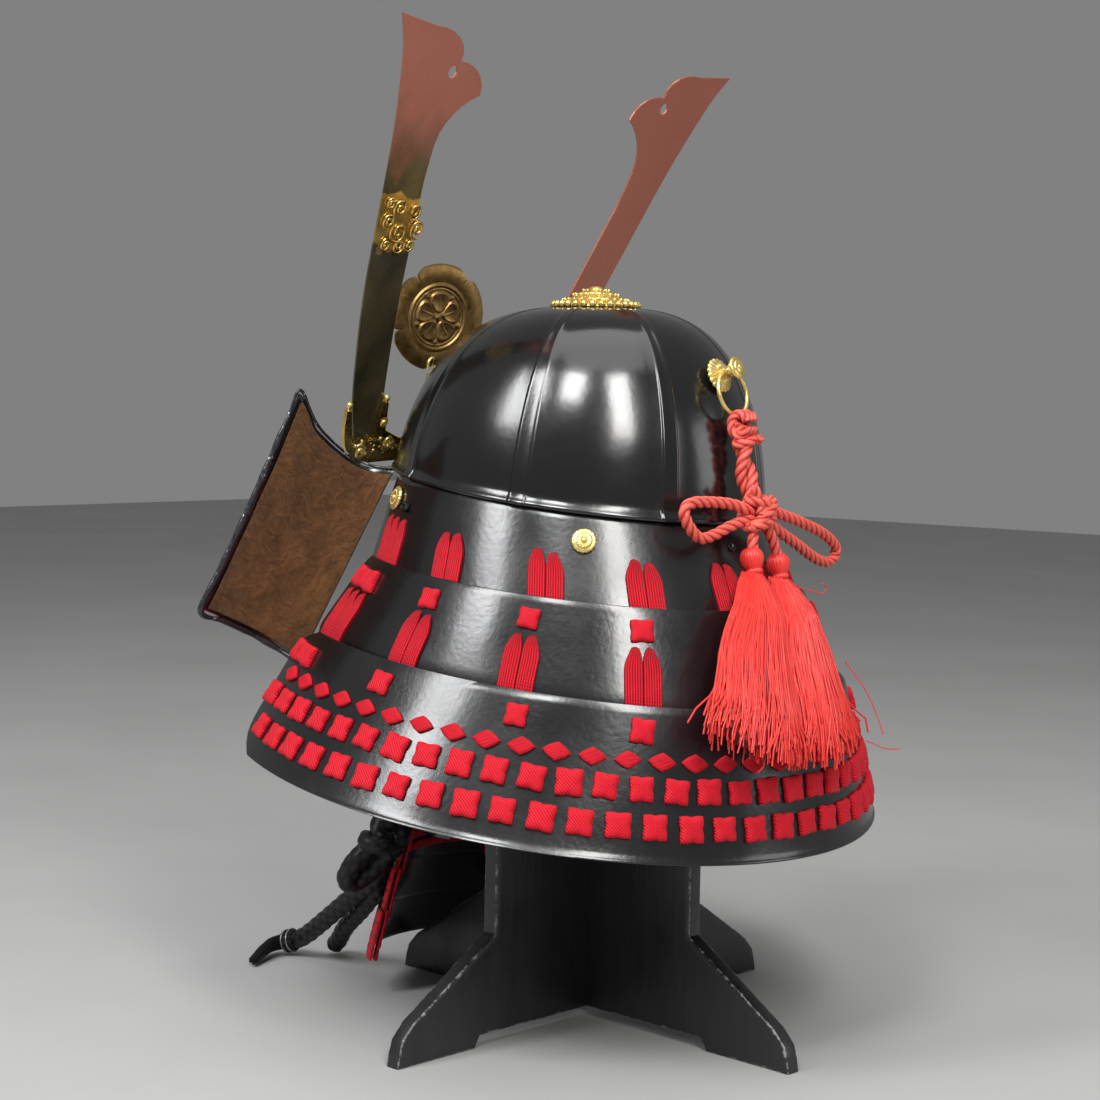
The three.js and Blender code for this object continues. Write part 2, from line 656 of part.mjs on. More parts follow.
function tasselSkirt(side) {
  const outward = side === "left" ? 1 : -1;
  const sections = SKIRT.map((row) => {
    const inner = Math.abs(row[side] - row.between) - GAP;
    const lower = side === "right" ? HEAD.left[2] - HEAD.right[2] : 0;
    return Array.from({ length: 16 }, (_, i) => {
      const turn = (2 * Math.PI * i) / 16;
      const across = Math.cos(turn) * outward > 0 ? row.wide : Math.min(inner, row.wide);
      const drop = row.z < 200 ? 4 * Math.cos(turn) : 0;
      const back = Math.abs(Math.cos(turn) * across) * 0.16;
      return new THREE.Vector3(
        row[side] + across * Math.cos(turn),
        row.y + row.thick * Math.sin(turn) - back,
        row.z - lower + drop * outward,
      );
    });
  });
  return lofted(sections, "fan");
}

// ---------------------------------------------------------------- chin guard, throat guard and black cord

const GUARD_Y = -85; // the guards curve round a vertical line here
const CHIN = { top: 166, bottom: 109, wide: 59, narrow: 49.2, end: 100 };
const LAMES = [
  { top: 111, bottom: 80, narrow: 53.5, wide: 62, end: 50 },
  { top: 84.5, bottom: 52, narrow: 63.2, wide: 71, end: 54 },
  { top: 56.5, bottom: 24, narrow: 72.2, wide: 80, end: 58 },
];

// A wall round the guards' line: angles run either way from straight ahead.
function guardWall({ top, bottom, narrow, wide, end }, parts) {
  const at = (angle, down) => {
    const reach = mix(narrow, wide, down);
    const turn = rad(angle);
    return new THREE.Vector3(reach * Math.sin(turn), GUARD_Y - reach * Math.cos(turn), mix(top, bottom, down));
  };
  return wallOn(at, spread(-end, end, parts), [0, 0.5, 1], PLATE);
}

function chinGuard() {
  return guardWall({ ...CHIN, top: CHIN.bottom, bottom: CHIN.top, narrow: CHIN.narrow, wide: CHIN.wide }, 24);
}

// The black cord hangs from both sides of the bowl, passes under the chin guard, and is tied
// at the left with a bow whose two ends lie on the surface.
const STRAP = [
  [100, -48, 320], [96, -64, 270], [88, -86, 205], [76, -104, 150], [60, -120, 116],
  [34, -145, 106], [0, -157, 104], [-34, -145, 106], [-60, -120, 116],
  [-76, -104, 150], [-88, -86, 205], [-96, -64, 270], [-100, -48, 320],
];
const BOW_LOOP = [[58, -124, 107], [70, -132, 104], [81, -138, 95], [82, -142, 83], [72, -142, 77], [58, -134, 86]];
const LONG_END = [[52, -128, 98], [47, -142, 76], [43, -168, 58], [39, -196, 38], [35, -222, 20], [33, -236, 12]];
const SHORT_END = [[51, -131, 94], [44.5, -143, 79], [37.5, -152, 65], [30, -173, 46], [21, -200, 26], [13, -216, 12], [11, -222, 7.4]];
const CHIN_KNOT = [57, -122, 110];

function chinCord() {
  const radius = CHIN_CORD / 2;
  const knot = new THREE.SphereGeometry(1, 12, 8).scale(12, 11, 12).translate(...CHIN_KNOT);
  const parts = [
    bar(STRAP, radius, 26),
    bar(BOW_LOOP, radius, 8),
    bar(LONG_END, radius * 0.92, 7),
    bar(SHORT_END, radius * 0.92, 7),
  ];
  return geometryOf(parts.reduce((all, next) => all.add(solid(next)), solid(knot)));
}

// A bound band and a short fringe finish the long end.
const BAND = { at: [34.6, -242.4, 10.4], radius: 7.6, half: 3.8, along: [0.3, -0.9, -0.3] };

function cordEndBand() {
  const band = new THREE.CylinderGeometry(BAND.radius, BAND.radius, BAND.half * 2, 12);
  const along = new THREE.Vector3(...BAND.along).normalize();
  band.applyQuaternion(new THREE.Quaternion().setFromUnitVectors(new THREE.Vector3(0, 1, 0), along));
  return band.translate(...BAND.at);
}

function cordEndFringe() {
  const slices = [
    { at: [37.7, -248.2, 9], along: [0.5, -0.85], wide: 6.6, thick: 6.4 },
    { at: [46, -250, 8], along: [1, 0], wide: 7, thick: 6 },
    { at: [58, -246, 5.6], along: [0.95, 0.3], wide: 6.4, thick: 4.4 },
    { at: [71, -240, 3], along: [0.9, 0.42], wide: 3.4, thick: 2 },
  ];
  const sections = slices.map(({ at, along, wide, thick }) => {
    const across = new THREE.Vector3(-along[1], along[0], 0).normalize();
    return Array.from({ length: 10 }, (_, i) => {
      const turn = (2 * Math.PI * i) / 10;
      const edge = across.clone().multiplyScalar(wide * Math.cos(turn));
      return edge.add(new THREE.Vector3(at[0], at[1], at[2] + thick * Math.sin(turn)));
    });
  });
  return lofted(sections, "fan");
}

// ---------------------------------------------------------------- stand

// Half a board's outline from its foot to its top, mirrored for the other half.
function boardShape() {
  const shape = new THREE.Shape();
  const foot = [[PAD_INNER, 0], [FOOT_REACH, 0], [FOOT_REACH - 1, 8], [163.5, 16], [155, 25], [131, 40.5]];
  const post = [[POST_HALF, FOOT_RISE], [POST_HALF, 384], [74, 408], [45, 428]];
  const half = [...foot, ...post, [0, 434]];
  half.forEach(([x, z], i) => (i === 0 ? shape.moveTo(x, z) : shape.lineTo(x, z)));
  [...foot, ...post].reverse().forEach(([x, z]) => shape.lineTo(-x, z));
  shape.lineTo(-PAD_INNER + 4, PAD_RELIEF);
  shape.lineTo(PAD_INNER - 4, PAD_RELIEF);
  shape.closePath();
  return shape;
}

// One board with a slot from the top or from the bottom, so that the two cross.
function standBoard(turn, slotFromTop) {
  const board = new THREE.ExtrudeGeometry(boardShape(), { depth: BOARD, bevelEnabled: false });
  board.rotateX(Math.PI / 2).translate(0, BOARD / 2, 0);
  const middle = STAND_TOP / 2;
  const slot = new THREE.BoxGeometry(BOARD + 2 * GAP, BOARD * 2, STAND_TOP);
  slot.translate(0, 0, slotFromTop ? middle + STAND_TOP / 2 - GAP / 2 : middle - STAND_TOP / 2 + GAP / 2);
  return geometryOf(solid(board).subtract(solid(slot))).rotateZ(rad(turn));
}

// ---------------------------------------------------------------- the whole helmet

piece("bowl", bowlShell(), "lacquer");
piece("top_ornament", topOrnament(), "gold");
piece("visor", visor(), "lacquer");
for (const plate of [0, 1, 2]) piece(`neck_plate_${plate + 1}`, neckPlate(plate), "lacquer");
addLaces();
addBosses();
addTurnbacks();
piece("horn_base", hornBase(), "gold");
piece("horn_left", horn(), "hornMetal");
piece("horn_right", mirrored(horn()), "hornMetal");
piece("crest_disc", crestDisc(), "oldGold");
piece("rear_stud", rearStud(), "gold");
piece("rear_ring", rearRing(), "gold");
piece("red_cord", redCord(), "redCord");
for (const side of ["left", "right"]) {
  piece(`tassel_head_${side}`, tasselHead(HEAD[side]), "redCord");
  piece(`tassel_skirt_${side}`, tasselSkirt(side), "redCord");
}
piece("chin_guard", chinGuard(), "lacquer");
LAMES.forEach((lame, i) => piece(`throat_lame_${i + 1}`, guardWall(lame, 20), "lacquer"));
piece("chin_cord", chinCord(), "blackCord");
piece("cord_end_band", cordEndBand(), "blackCord");
piece("cord_end_fringe", cordEndFringe(), "blackCord");
piece("stand_board_long", standBoard(90 - STAND_TURN, true), "paintedWood");
piece("stand_board_cross", standBoard(-STAND_TURN, false), "paintedWood");

helmet.position.y = FRONT_SHIFT;

export default helmet;
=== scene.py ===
"""The looks of a kabuto on its crossed-board stand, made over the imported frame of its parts.

Lengths are written in millimetres and turned into metres where a mesh is made. The wearer looks along -Y,
the wearer's left is +X, and the surface under the stand is at height zero.
"""
from __future__ import annotations

import logging
import math
import random
from dataclasses import dataclass, field
from enum import Enum
from typing import Callable, Iterable, Sequence

import bmesh
import bpy
from mathutils import Matrix, Quaternion, Vector


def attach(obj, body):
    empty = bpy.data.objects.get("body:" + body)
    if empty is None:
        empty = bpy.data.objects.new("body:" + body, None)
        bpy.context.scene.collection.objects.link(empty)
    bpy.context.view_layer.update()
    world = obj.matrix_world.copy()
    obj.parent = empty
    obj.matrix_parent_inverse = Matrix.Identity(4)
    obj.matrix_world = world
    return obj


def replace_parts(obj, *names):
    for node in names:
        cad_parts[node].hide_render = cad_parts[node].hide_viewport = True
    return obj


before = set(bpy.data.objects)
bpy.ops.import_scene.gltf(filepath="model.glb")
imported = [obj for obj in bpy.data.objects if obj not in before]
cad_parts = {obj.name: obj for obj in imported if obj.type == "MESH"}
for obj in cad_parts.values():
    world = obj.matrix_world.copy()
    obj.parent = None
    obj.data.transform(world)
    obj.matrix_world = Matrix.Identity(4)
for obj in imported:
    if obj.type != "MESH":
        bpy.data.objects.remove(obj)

log = logging.getLogger("kabuto")
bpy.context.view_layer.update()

MM = 0.001
FRONT_SHIFT = 2.7
ROOT = "root"

Surface = Callable[[float, float], Vector]
Point = tuple[float, float, float]


class Side(Enum):
    """The two sides of the wearer, with the sign of X on each."""

    LEFT = 1
    RIGHT = -1

    @property
    def word(self) -> str:
        """The side's name as it stands in the parts' names."""
        return self.name.lower()


# ---------------------------------------------------------------- small tools for meshes


def mix(a: float, b: float, share: float) -> float:
    """The number that lies at a share of the way from a to b."""
    return a + (b - a) * share


def spread(first: float, last: float, parts: int) -> list[float]:
    """Evenly spaced numbers from first to last, both kept."""
    return [mix(first, last, i / parts) for i in range(parts + 1)]


def smooth(low: float, high: float, x: float) -> float:
    """A soft step from 0 at low to 1 at high."""
    t = max(0.0, min(1.0, (x - low) / (high - low)))
    return t * t * (3 - 2 * t)


def unit(v: Vector) -> Vector:
    """The same direction with length one."""
    return v / max(v.length, 1e-12)


def placed(point: Iterable[float]) -> Vector:
    """Turn a place in millimetres into one in metres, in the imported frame."""
    x, y, z = point
    return Vector((x * MM, (y + FRONT_SHIFT) * MM, z * MM))


@dataclass
class Shape:
    """A mesh that is being made: points in millimetres, faces, and a place in a pattern for each point."""

    points: list[Vector] = field(default_factory=list)
    faces: list[tuple[int, ...]] = field(default_factory=list)
    pattern: list[tuple[float, float]] = field(default_factory=list)
    marks: list[float] = field(default_factory=list)

    def add(self, other: "Shape") -> "Shape":
        """Take another shape's points and faces in.

        Args:
            other: The shape that is added.

        Returns:
            This shape.
        """
        start = len(self.points)
        self.pattern += [(0.0, 0.0)] * (start - len(self.pattern))
        self.marks += [0.0] * (start - len(self.marks))
        self.points += other.points
        self.faces += [tuple(i + start for i in face) for face in other.faces]
        self.pattern += other.pattern or [(0.0, 0.0)] * len(other.points)
        self.marks += other.marks or [0.0] * len(other.points)
        return self

    def mirrored(self) -> "Shape":
        """The same shape on the wearer's other side, with its faces still pointing out."""
        points = [Vector((-p.x, p.y, p.z)) for p in self.points]
        return Shape(points, [face[::-1] for face in self.faces], list(self.pattern), list(self.marks))

    def turned(self, matrix: Matrix) -> "Shape":
        """The same shape moved and turned by a matrix."""
        return Shape([matrix @ p for p in self.points], self.faces, self.pattern, self.marks)


def grid(rows: Sequence[Sequence[Vector]], close_rows: bool = False, close_columns: bool = False,
         scale: tuple[float, float] = (1.0, 1.0)) -> Shape:
    """A sheet of four-cornered faces through rows of points.

    Args:
        rows: Rows with the same number of points.
        close_rows: Whether the last row joins the first.
        close_columns: Whether each row's last point joins its first.
        scale: How far the pattern runs along the rows and across them.

    Returns:
        The sheet, with its pattern running along (first number) and across (second).
    """
    count, width = len(rows), len(rows[0])
    shape = Shape([p.copy() for row in rows for p in row])
    for i in range(count if close_rows else count - 1):
        for j in range(width if close_columns else width - 1):
            a, b = i * width + j, i * width + (j + 1) % width
            c, d = ((i + 1) % count) * width + (j + 1) % width, ((i + 1) % count) * width + j
            shape.faces.append((a, b, c, d))
    shape.pattern = [(scale[0] * i / max(count - 1, 1), scale[1] * j / max(width - 1, 1))
                     for i in range(count) for j in range(width)]
    return shape


def capped(rows: Sequence[Sequence[Vector]], scale: tuple[float, float] = (1.0, 1.0)) -> Shape:
    """A closed solid through round rows, with a fan over the first and the last.

    Args:
        rows: Closed rows of points.
        scale: How far the pattern runs along and around.

    Returns:
        The closed solid.
    """
    shape = grid(rows, close_columns=True, scale=scale)
    width, last = len(rows[0]), (len(rows) - 1) * len(rows[0])
    for start, flip, along in ((0, True, 0.0), (last, False, scale[0])):
        middle = sum((shape.points[start + i] for i in range(width)), Vector()) / width
        shape.points.append(middle)
        shape.pattern.append((along, 0.0))
        centre = len(shape.points) - 1
        for i in range(width):
            a, b = start + i, start + (i + 1) % width
            shape.faces.append((centre, b, a) if flip else (centre, a, b))
    return shape


def wall(at: Surface, us: Sequence[float], vs: Sequence[float], thick: float, edge: int = 3) -> Shape:
    """A wall of even thickness with rounded edges on one side of a surface.

    Args:
        at: The surface, as a place for two numbers.
        us: The first number's steps, from one end of the wall to the other.
        vs: The second number's steps.
        thick: The wall's thickness. A positive one grows against the surface's normal.
        edge: Points round each edge.

    Returns:
        The closed wall.
    """
    step = 1e-3

    def normal(u: float, v: float) -> Vector:
        """The direction straight out of the surface at a place."""
        return unit((at(u + step, v) - at(u - step, v)).cross(at(u, v + step) - at(u, v - step)))

    rows = []
    for u in us:
        face = [at(u, v) for v in vs]
        back = [at(u, v) - normal(u, v) * thick for v in vs]
        turn_low = unit(face[0] - face[1]) * abs(thick) / 2
        turn_high = unit(face[-1] - face[-2]) * abs(thick) / 2
        high = [mix_points(face[-1], back[-1], k, turn_high, edge) for k in range(1, edge + 1)]
        low = [mix_points(back[0], face[0], k, turn_low, edge) for k in range(1, edge + 1)]
        rows.append(face + high + back[::-1] + low)
    shape = grid(rows, close_columns=True, scale=(1.0, 1.0))
    width = len(rows[0])
    for start, flip in ((0, True), ((len(rows) - 1) * width, False)):
        ring = [start + i for i in range(width)]
        shape.faces.append(tuple(ring[::-1] if flip else ring))
    return shape


def mix_points(a: Vector, b: Vector, k: int, outward: Vector, edge: int) -> Vector:
    """A point on the round edge between two faces of a wall."""
    turn = math.pi * k / (edge + 1)
    return a.lerp(b, (1 - math.cos(turn)) / 2) + outward * math.sin(turn) * 0.6


def lathe(profile: Sequence[tuple[float, float]], steps: int,
          flute: Callable[[float, float], float] | None = None) -> Shape:
    """A turned solid round Z.

    Args:
        profile: Radius and height pairs, from the axis at the bottom to the axis at the top.
        steps: Columns round the axis.
        flute: What is added to the radius for an angle and a height.

    Returns:
        The closed solid.
    """
    rows = []
    for radius, height in profile:
        ring = []
        for i in range(steps):
            turn = 2 * math.pi * i / steps
            reach = radius + (flute(turn, height) if flute and radius > 0.5 else 0.0)
            ring.append(Vector((reach * math.cos(turn), reach * math.sin(turn), height)))
        rows.append(ring)
    return capped(rows)


def ball(radius: float, steps: int = 12) -> Shape:
    """A plain round bead."""
    half = steps // 2
    turns = [math.pi * (i + 0.5) / half - math.pi / 2 for i in range(half)]
    return lathe([(radius * math.cos(t), radius * math.sin(t)) for t in turns], steps)


def facing(direction: Vector, spin: float = 0.0) -> Matrix:
    """A turn that brings +Z to a direction."""
    return (Vector((0, 0, 1)).rotation_difference(unit(direction))
            @ Quaternion((0, 0, 1), spin)).to_matrix().to_4x4()


def moved(x: float, y: float, z: float) -> Matrix:
    """A move without a turn."""
    return Matrix.Translation(Vector((x, y, z)))


def piece(name: str, shape: Shape, finish: bpy.types.Material, sharp: float = 38.0) -> bpy.types.Object:
    """Make a Blender object out of a shape and let it ride on the helmet.

    Args:
        name: The piece's name.
        shape: Its points in millimetres, its faces and its pattern.
        finish: Its material.
        sharp: Edges with a larger turn than this, in degrees, stay crisp.

    Returns:
        The object, at the origin, with its place in its mesh.
    """
    mesh = bpy.data.meshes.new(name)
    mesh.from_pydata([placed(p) for p in shape.points], [], shape.faces)
    if shape.pattern:
        layer = mesh.uv_layers.new(name="pattern")
        flat = [c for loop in mesh.loops for c in shape.pattern[loop.vertex_index]]
        layer.data.foreach_set("uv", flat)
    if shape.marks:
        # the marks carry real edge wear on the stand, the painted highlight and shade of the cords and braid,
        # and the paler suede creases
        marks = mesh.attributes.new("wear", "FLOAT", "POINT")
        marks.data.foreach_set("value", shape.marks)
    mesh.validate()
    work = bmesh.new()
    work.from_mesh(mesh)
    bmesh.ops.recalc_face_normals(work, faces=work.faces)
    work.to_mesh(mesh)
    work.free()
    mesh.update()
    mesh.polygons.foreach_set("use_smooth", [True] * len(mesh.polygons))
    mesh.set_sharp_from_angle(angle=math.radians(sharp))
    made = bpy.data.objects.new(name, mesh)
    bpy.context.scene.collection.objects.link(made)
    made.data.materials.append(finish)
    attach(made, ROOT)
    log.info("%s: %d faces", name, len(mesh.polygons))
    return made


def dress(node: str, finish: bpy.types.Material) -> None:
    """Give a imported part, kept as it is, its material."""
    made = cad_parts[node]
    made.data.materials.clear()
    made.data.materials.append(finish)


# ---------------------------------------------------------------- finishes


class Nodes:
    """A short way to write a material's nodes."""

    def __init__(self, name: str) -> None:
        """Start a material with one main shader.

        Args:
            name: The material's name.
        """
        self.material = bpy.data.materials.new(name)
        self.material.use_nodes = True
        self.tree = self.material.node_tree
        self.shader = self.tree.nodes["Principled BSDF"]
        self.texture = self.tree.nodes.new("ShaderNodeTexCoord")

    def set(self, **values: float | tuple[float, ...]) -> "Nodes":
        """Set numbers and colours on the main shader's own sockets.

        Args:
            **values: Socket names with low lines for spaces, and their values.

        Returns:
            This material.
        """
        for name, value in values.items():
            socket = self.shader.inputs[name.replace("_", " ")]
            socket.default_value = (*value, 1.0) if isinstance(value, tuple) and len(value) == 3 else value
        return self

    def node(self, kind: str, links: dict | None = None, **settings: object) -> bpy.types.Node:
        """Add a node.

        Args:
            kind: The node's type, without its common prefix.
            links: What goes into its inputs: a socket is linked and anything else is set.
            **settings: The node's own settings.

        Returns:
            The node.
        """
        made = self.tree.nodes.new("ShaderNode" + kind)
        for name, value in settings.items():
            setattr(made, name, value)
        for key, value in (links or {}).items():
            if isinstance(value, bpy.types.NodeSocket):
                self.tree.links.new(value, made.inputs[key])
            else:
                made.inputs[key].default_value = value
        return made

    def noise(self, scale: float, detail: float = 3.0, rough: float = 0.5, bend: float = 0.0,
              place: bpy.types.NodeSocket | None = None) -> bpy.types.NodeSocket:
        """Cloudy noise, counted per metre of the object unless another place is given."""
        source = place or self.texture.outputs["Object"]
        return self.node("TexNoise", {"Vector": source, "Scale": scale, "Detail": detail, "Roughness": rough,
                                      "Distortion": bend}).outputs["Fac"]

    def stretched(self, x: float, y: float, z: float, pattern: bool = False) -> bpy.types.NodeSocket:
        """Places scaled by three numbers, from the object or from its own pattern."""
        source = self.texture.outputs["UV" if pattern else "Object"]
        return self.node("Mapping", {"Vector": source, "Scale": (x, y, z)}).outputs["Vector"]

    def range(self, value: bpy.types.NodeSocket, low: float, high: float, to_low: float = 0.0,
              to_high: float = 1.0) -> bpy.types.NodeSocket:
        """Move numbers from one range to another, held at its ends."""
        return self.node("MapRange", {"Value": value, "From Min": low, "From Max": high, "To Min": to_low,
                                      "To Max": to_high}).outputs["Result"]

    def math(self, operation: str, a: object, b: object = 0.0) -> bpy.types.NodeSocket:
        """One sum on two numbers."""
        return self.node("Math", {0: a, 1: b}, operation=operation).outputs[0]

    def blend(self, share: object, first: object, second: object) -> bpy.types.NodeSocket:
        """A colour between two colours."""
        made = self.tree.nodes.new("ShaderNodeMix")
        made.data_type = "RGBA"
        for key, value in ((0, share), (6, first), (7, second)):
            if isinstance(value, bpy.types.NodeSocket):
                self.tree.links.new(value, made.inputs[key])
            else:
                made.inputs[key].default_value = (*value, 1.0) if isinstance(value, tuple) else value
        return made.outputs[2]

    def bump(self, height: bpy.types.NodeSocket, depth: float, strength: float = 1.0,
             after: bpy.types.NodeSocket | None = None) -> bpy.types.NodeSocket:
        """A relief of a depth in metres, laid over an earlier one."""
        links: dict = {"Height": height, "Distance": depth, "Strength": strength}
        if after is not None:
            links["Normal"] = after
        return self.node("Bump", links).outputs["Normal"]

    def link(self, socket: bpy.types.NodeSocket, name: str) -> None:
        """Feed one of the main shader's inputs."""
        self.tree.links.new(socket, self.shader.inputs[name])


@dataclass(frozen=True)
class Lacquer:
    """Black lacquer over iron, polished, with a faint unevenness and a few dull patches."""

    name: str = "black_lacquer"
    colour: tuple[float, float, float] = (0.004, 0.004, 0.005)
    shine: tuple[float, float] = (0.15, 0.27)
    ripple: float = 0.00006

    def make(self) -> bpy.types.Material:
        """Make the material."""
        m = Nodes(self.name).set(IOR=1.6, Coat_Weight=0.4, Coat_Roughness=0.14)
        cloud = m.noise(22, 4, 0.6)
        m.link(m.range(cloud, 0.3, 0.75, *self.shine), "Roughness")
        dust = m.range(m.noise(900, 2), 0.66, 0.78, 0.0, 0.5)
        m.link(m.blend(dust, self.colour, (0.03, 0.03, 0.032)), "Base Color")
        swell = m.bump(m.noise(26, 1), 0.0011, 0.35)
        m.link(m.bump(m.noise(320, 2), self.ripple, 1.0, swell), "Normal")
        return m.material


@dataclass(frozen=True)
class Gilt:
    """Gilt metal, bright where it is rubbed and browner in its hollows."""

    name: str = "bright_gilt"
    bright: tuple[float, float, float] = (0.90, 0.66, 0.22)
    deep: tuple[float, float, float] = (0.62, 0.40, 0.10)
    shine: tuple[float, float] = (0.16, 0.34)
    depth: float = 0.00012
    metal: float = 1.0

    def make(self) -> bpy.types.Material:
        """Make the material."""
        m = Nodes(self.name).set(Metallic=self.metal)
        cloud = m.noise(160, 4, 0.6)
        m.link(m.blend(m.range(cloud, 0.35, 0.7), self.bright, self.deep), "Base Color")
        m.link(m.range(m.noise(420, 3), 0.3, 0.7, *self.shine), "Roughness")
        m.link(m.bump(m.noise(700, 3), self.depth, 0.7), "Normal")
        return m.material


@dataclass(frozen=True)
class HornSheet:
    """Polished horn metal with a painted reflection: a red reflection painted on top, and a dark olive bronze
    reflection painted below a height in millimetres.
    """

    name: str
    change: float
    band: tuple[float, float] = (0.0, 0.0)
    # painted reflection colours: red above the split height, dark olive bronze below it
    upper: tuple[float, float, float] = (0.42, 0.125, 0.075)
    lower: tuple[float, float, float] = (0.050, 0.043, 0.024)

    def make(self) -> bpy.types.Material:
        """Make the material."""
        m = Nodes(self.name).set(Metallic=0.55, Coat_Weight=0.3, Coat_Roughness=0.12)
        height = m.node("SeparateXYZ", {"Vector": m.texture.outputs["Object"]}).outputs["Z"]
        streak = m.noise(10, 4, 0.6, 0.6, m.stretched(3.0, 3.0, 0.8))
        uneven = m.math("ADD", height, m.range(streak, 0.3, 0.7, -0.012, 0.012))
        # where the painted dark reflection turns into the painted red reflection, with a wavering edge; both
        # are mottled below
        share = m.range(uneven, self.change * MM - 0.014, self.change * MM + 0.02)
        dark = m.blend(m.range(m.noise(14, 5, 0.6, 0.5, m.stretched(2.5, 2.5, 0.6)), 0.35, 0.7),
                       self.lower, (0.13, 0.105, 0.050))
        painted_red_reflection = m.blend(m.range(m.noise(9, 3), 0.3, 0.7), self.upper, (0.47, 0.16, 0.105))
        waved = m.math("ADD", height, m.range(m.noise(70, 3, 0.6, 0.5), 0.3, 0.7, -0.004, 0.004))
        low, high = self.band[0] * MM, self.band[1] * MM
        banded = m.math("MULTIPLY", m.range(waved, low - 0.001, low + 0.001),
                        m.range(waved, high - 0.001, high + 0.001,
                                                                                     1.0, 0.0))
        gold = m.blend(m.range(m.noise(120, 4, 0.6), 0.35, 0.7), (0.80, 0.56, 0.17), (0.42, 0.27, 0.07))
        m.link(m.blend(banded, m.blend(share, dark, painted_red_reflection), gold), "Base Color")
        m.link(m.math("ADD", m.math("MULTIPLY", banded, 0.45), 0.5), "Metallic")
        m.link(m.range(m.noise(60, 3), 0.3, 0.7, 0.22, 0.34), "Roughness")
        m.link(m.bump(m.noise(18, 2), 0.0006, 0.3), "Normal")
        return m.material


@dataclass(frozen=True)
class Lace:
    """Flat red silk braid with fine ribs that run along its pattern, painted darker in the grooves between the
    ribs as painted shade.
    """

    name: str = "red_lace"
    colour: tuple[float, float, float] = (0.20, 0.002, 0.006)
    light: tuple[float, float, float] = (0.68, 0.008, 0.024)
    ribs: float = 7.0
    slant: float = 0.0
    relief: float = 0.0007

    def make(self) -> bpy.types.Material:
        """Make the material."""
        m = Nodes(self.name).set(Sheen_Weight=0.10, Sheen_Roughness=0.4, Sheen_Tint=(1.0, 0.3, 0.3),
                                 Specular_IOR_Level=0.22)
        place = m.node("SeparateXYZ", {"Vector": m.texture.outputs["UV"]})
        along, across = place.outputs["X"], place.outputs["Y"]
        line = m.math("ADD", m.math("MULTIPLY", across, self.ribs), m.math("MULTIPLY", along, self.slant))
        rib = m.math("ABSOLUTE", m.math("SINE", m.math("MULTIPLY", line, math.pi)))
        stitch = m.math("ABSOLUTE", m.math("SINE", m.math("MULTIPLY", along, 46.0)))
        cloth = m.math("ADD", rib, m.math("MULTIPLY", stitch, 0.25))
        # painted shade: darker in the grooves between the ribs, lighter on their crests
        tone = m.math("MULTIPLY", m.range(rib, 0.0, 0.55), m.range(m.noise(90, 3), 0.25, 0.7, 0.7, 1.0))
        m.link(m.blend(tone, self.colour, self.light), "Base Color")
        m.link(m.range(m.noise(240, 2), 0.3, 0.7, 0.5, 0.68), "Roughness")
        m.link(m.bump(m.noise(2600, 2), 0.00008, 0.7, m.bump(cloth, self.relief, 1.0)), "Normal")
        return m.material


@dataclass(frozen=True)
class SilkThread:
    """Twisted or hanging silk whose fine threads run slantwise over its pattern, painted darker between the
    threads as painted shade; a grooved rope also gets a painted highlight on its strand crests and painted
    shade in its grooves.
    """

    name: str
    colour: tuple[float, float, float] = (0.42, 0.010, 0.010)
    light: tuple[float, float, float] = (0.80, 0.045, 0.032)
    threads: float = 30.0
    slant: float = 0.0
    depth: float = 0.00012
    grooved: bool = False

    def make(self) -> bpy.types.Material:
        """Make the material."""
        m = Nodes(self.name).set(Sheen_Weight=0.08, Sheen_Roughness=0.3, Sheen_Tint=(1.0, 0.5, 0.4),
                                 Specular_IOR_Level=0.5)
        place = m.node("SeparateXYZ", {"Vector": m.texture.outputs["UV"]})
        line = m.math("ADD", m.math("MULTIPLY", place.outputs["Y"], self.threads),
                      m.math("MULTIPLY", place.outputs["X"], self.slant))
        thread = m.math("ABSOLUTE", m.math("SINE", m.math("MULTIPLY", line, math.pi)))
        # painted shade: darker between the threads, lighter on them
        tone = m.math("MULTIPLY", m.range(thread, 0.0, 0.8, 0.25, 1.0),
                      m.range(m.noise(120, 2), 0.25, 0.75, 0.5, 1.0))
        shade = m.blend(tone, self.colour, self.light)
        # painted highlight on the strand crests and painted shade in the grooves, from the crest marks
        if self.grooved:
            crest = m.node("Attribute", attribute_name="wear").outputs["Fac"]
            glint = m.blend(m.range(crest, 0.55, 1.0, 0.0, 0.4), shade, (0.98, 0.28, 0.20))
            shade = m.blend(m.range(crest, 0.0, 0.42), (0.10, 0.001, 0.001), glint)
        m.link(shade, "Base Color")
        m.link(m.range(m.noise(500, 2), 0.3, 0.7, 0.3, 0.46), "Roughness")
        m.link(m.bump(thread, self.depth, 0.9), "Normal")
        return m.material


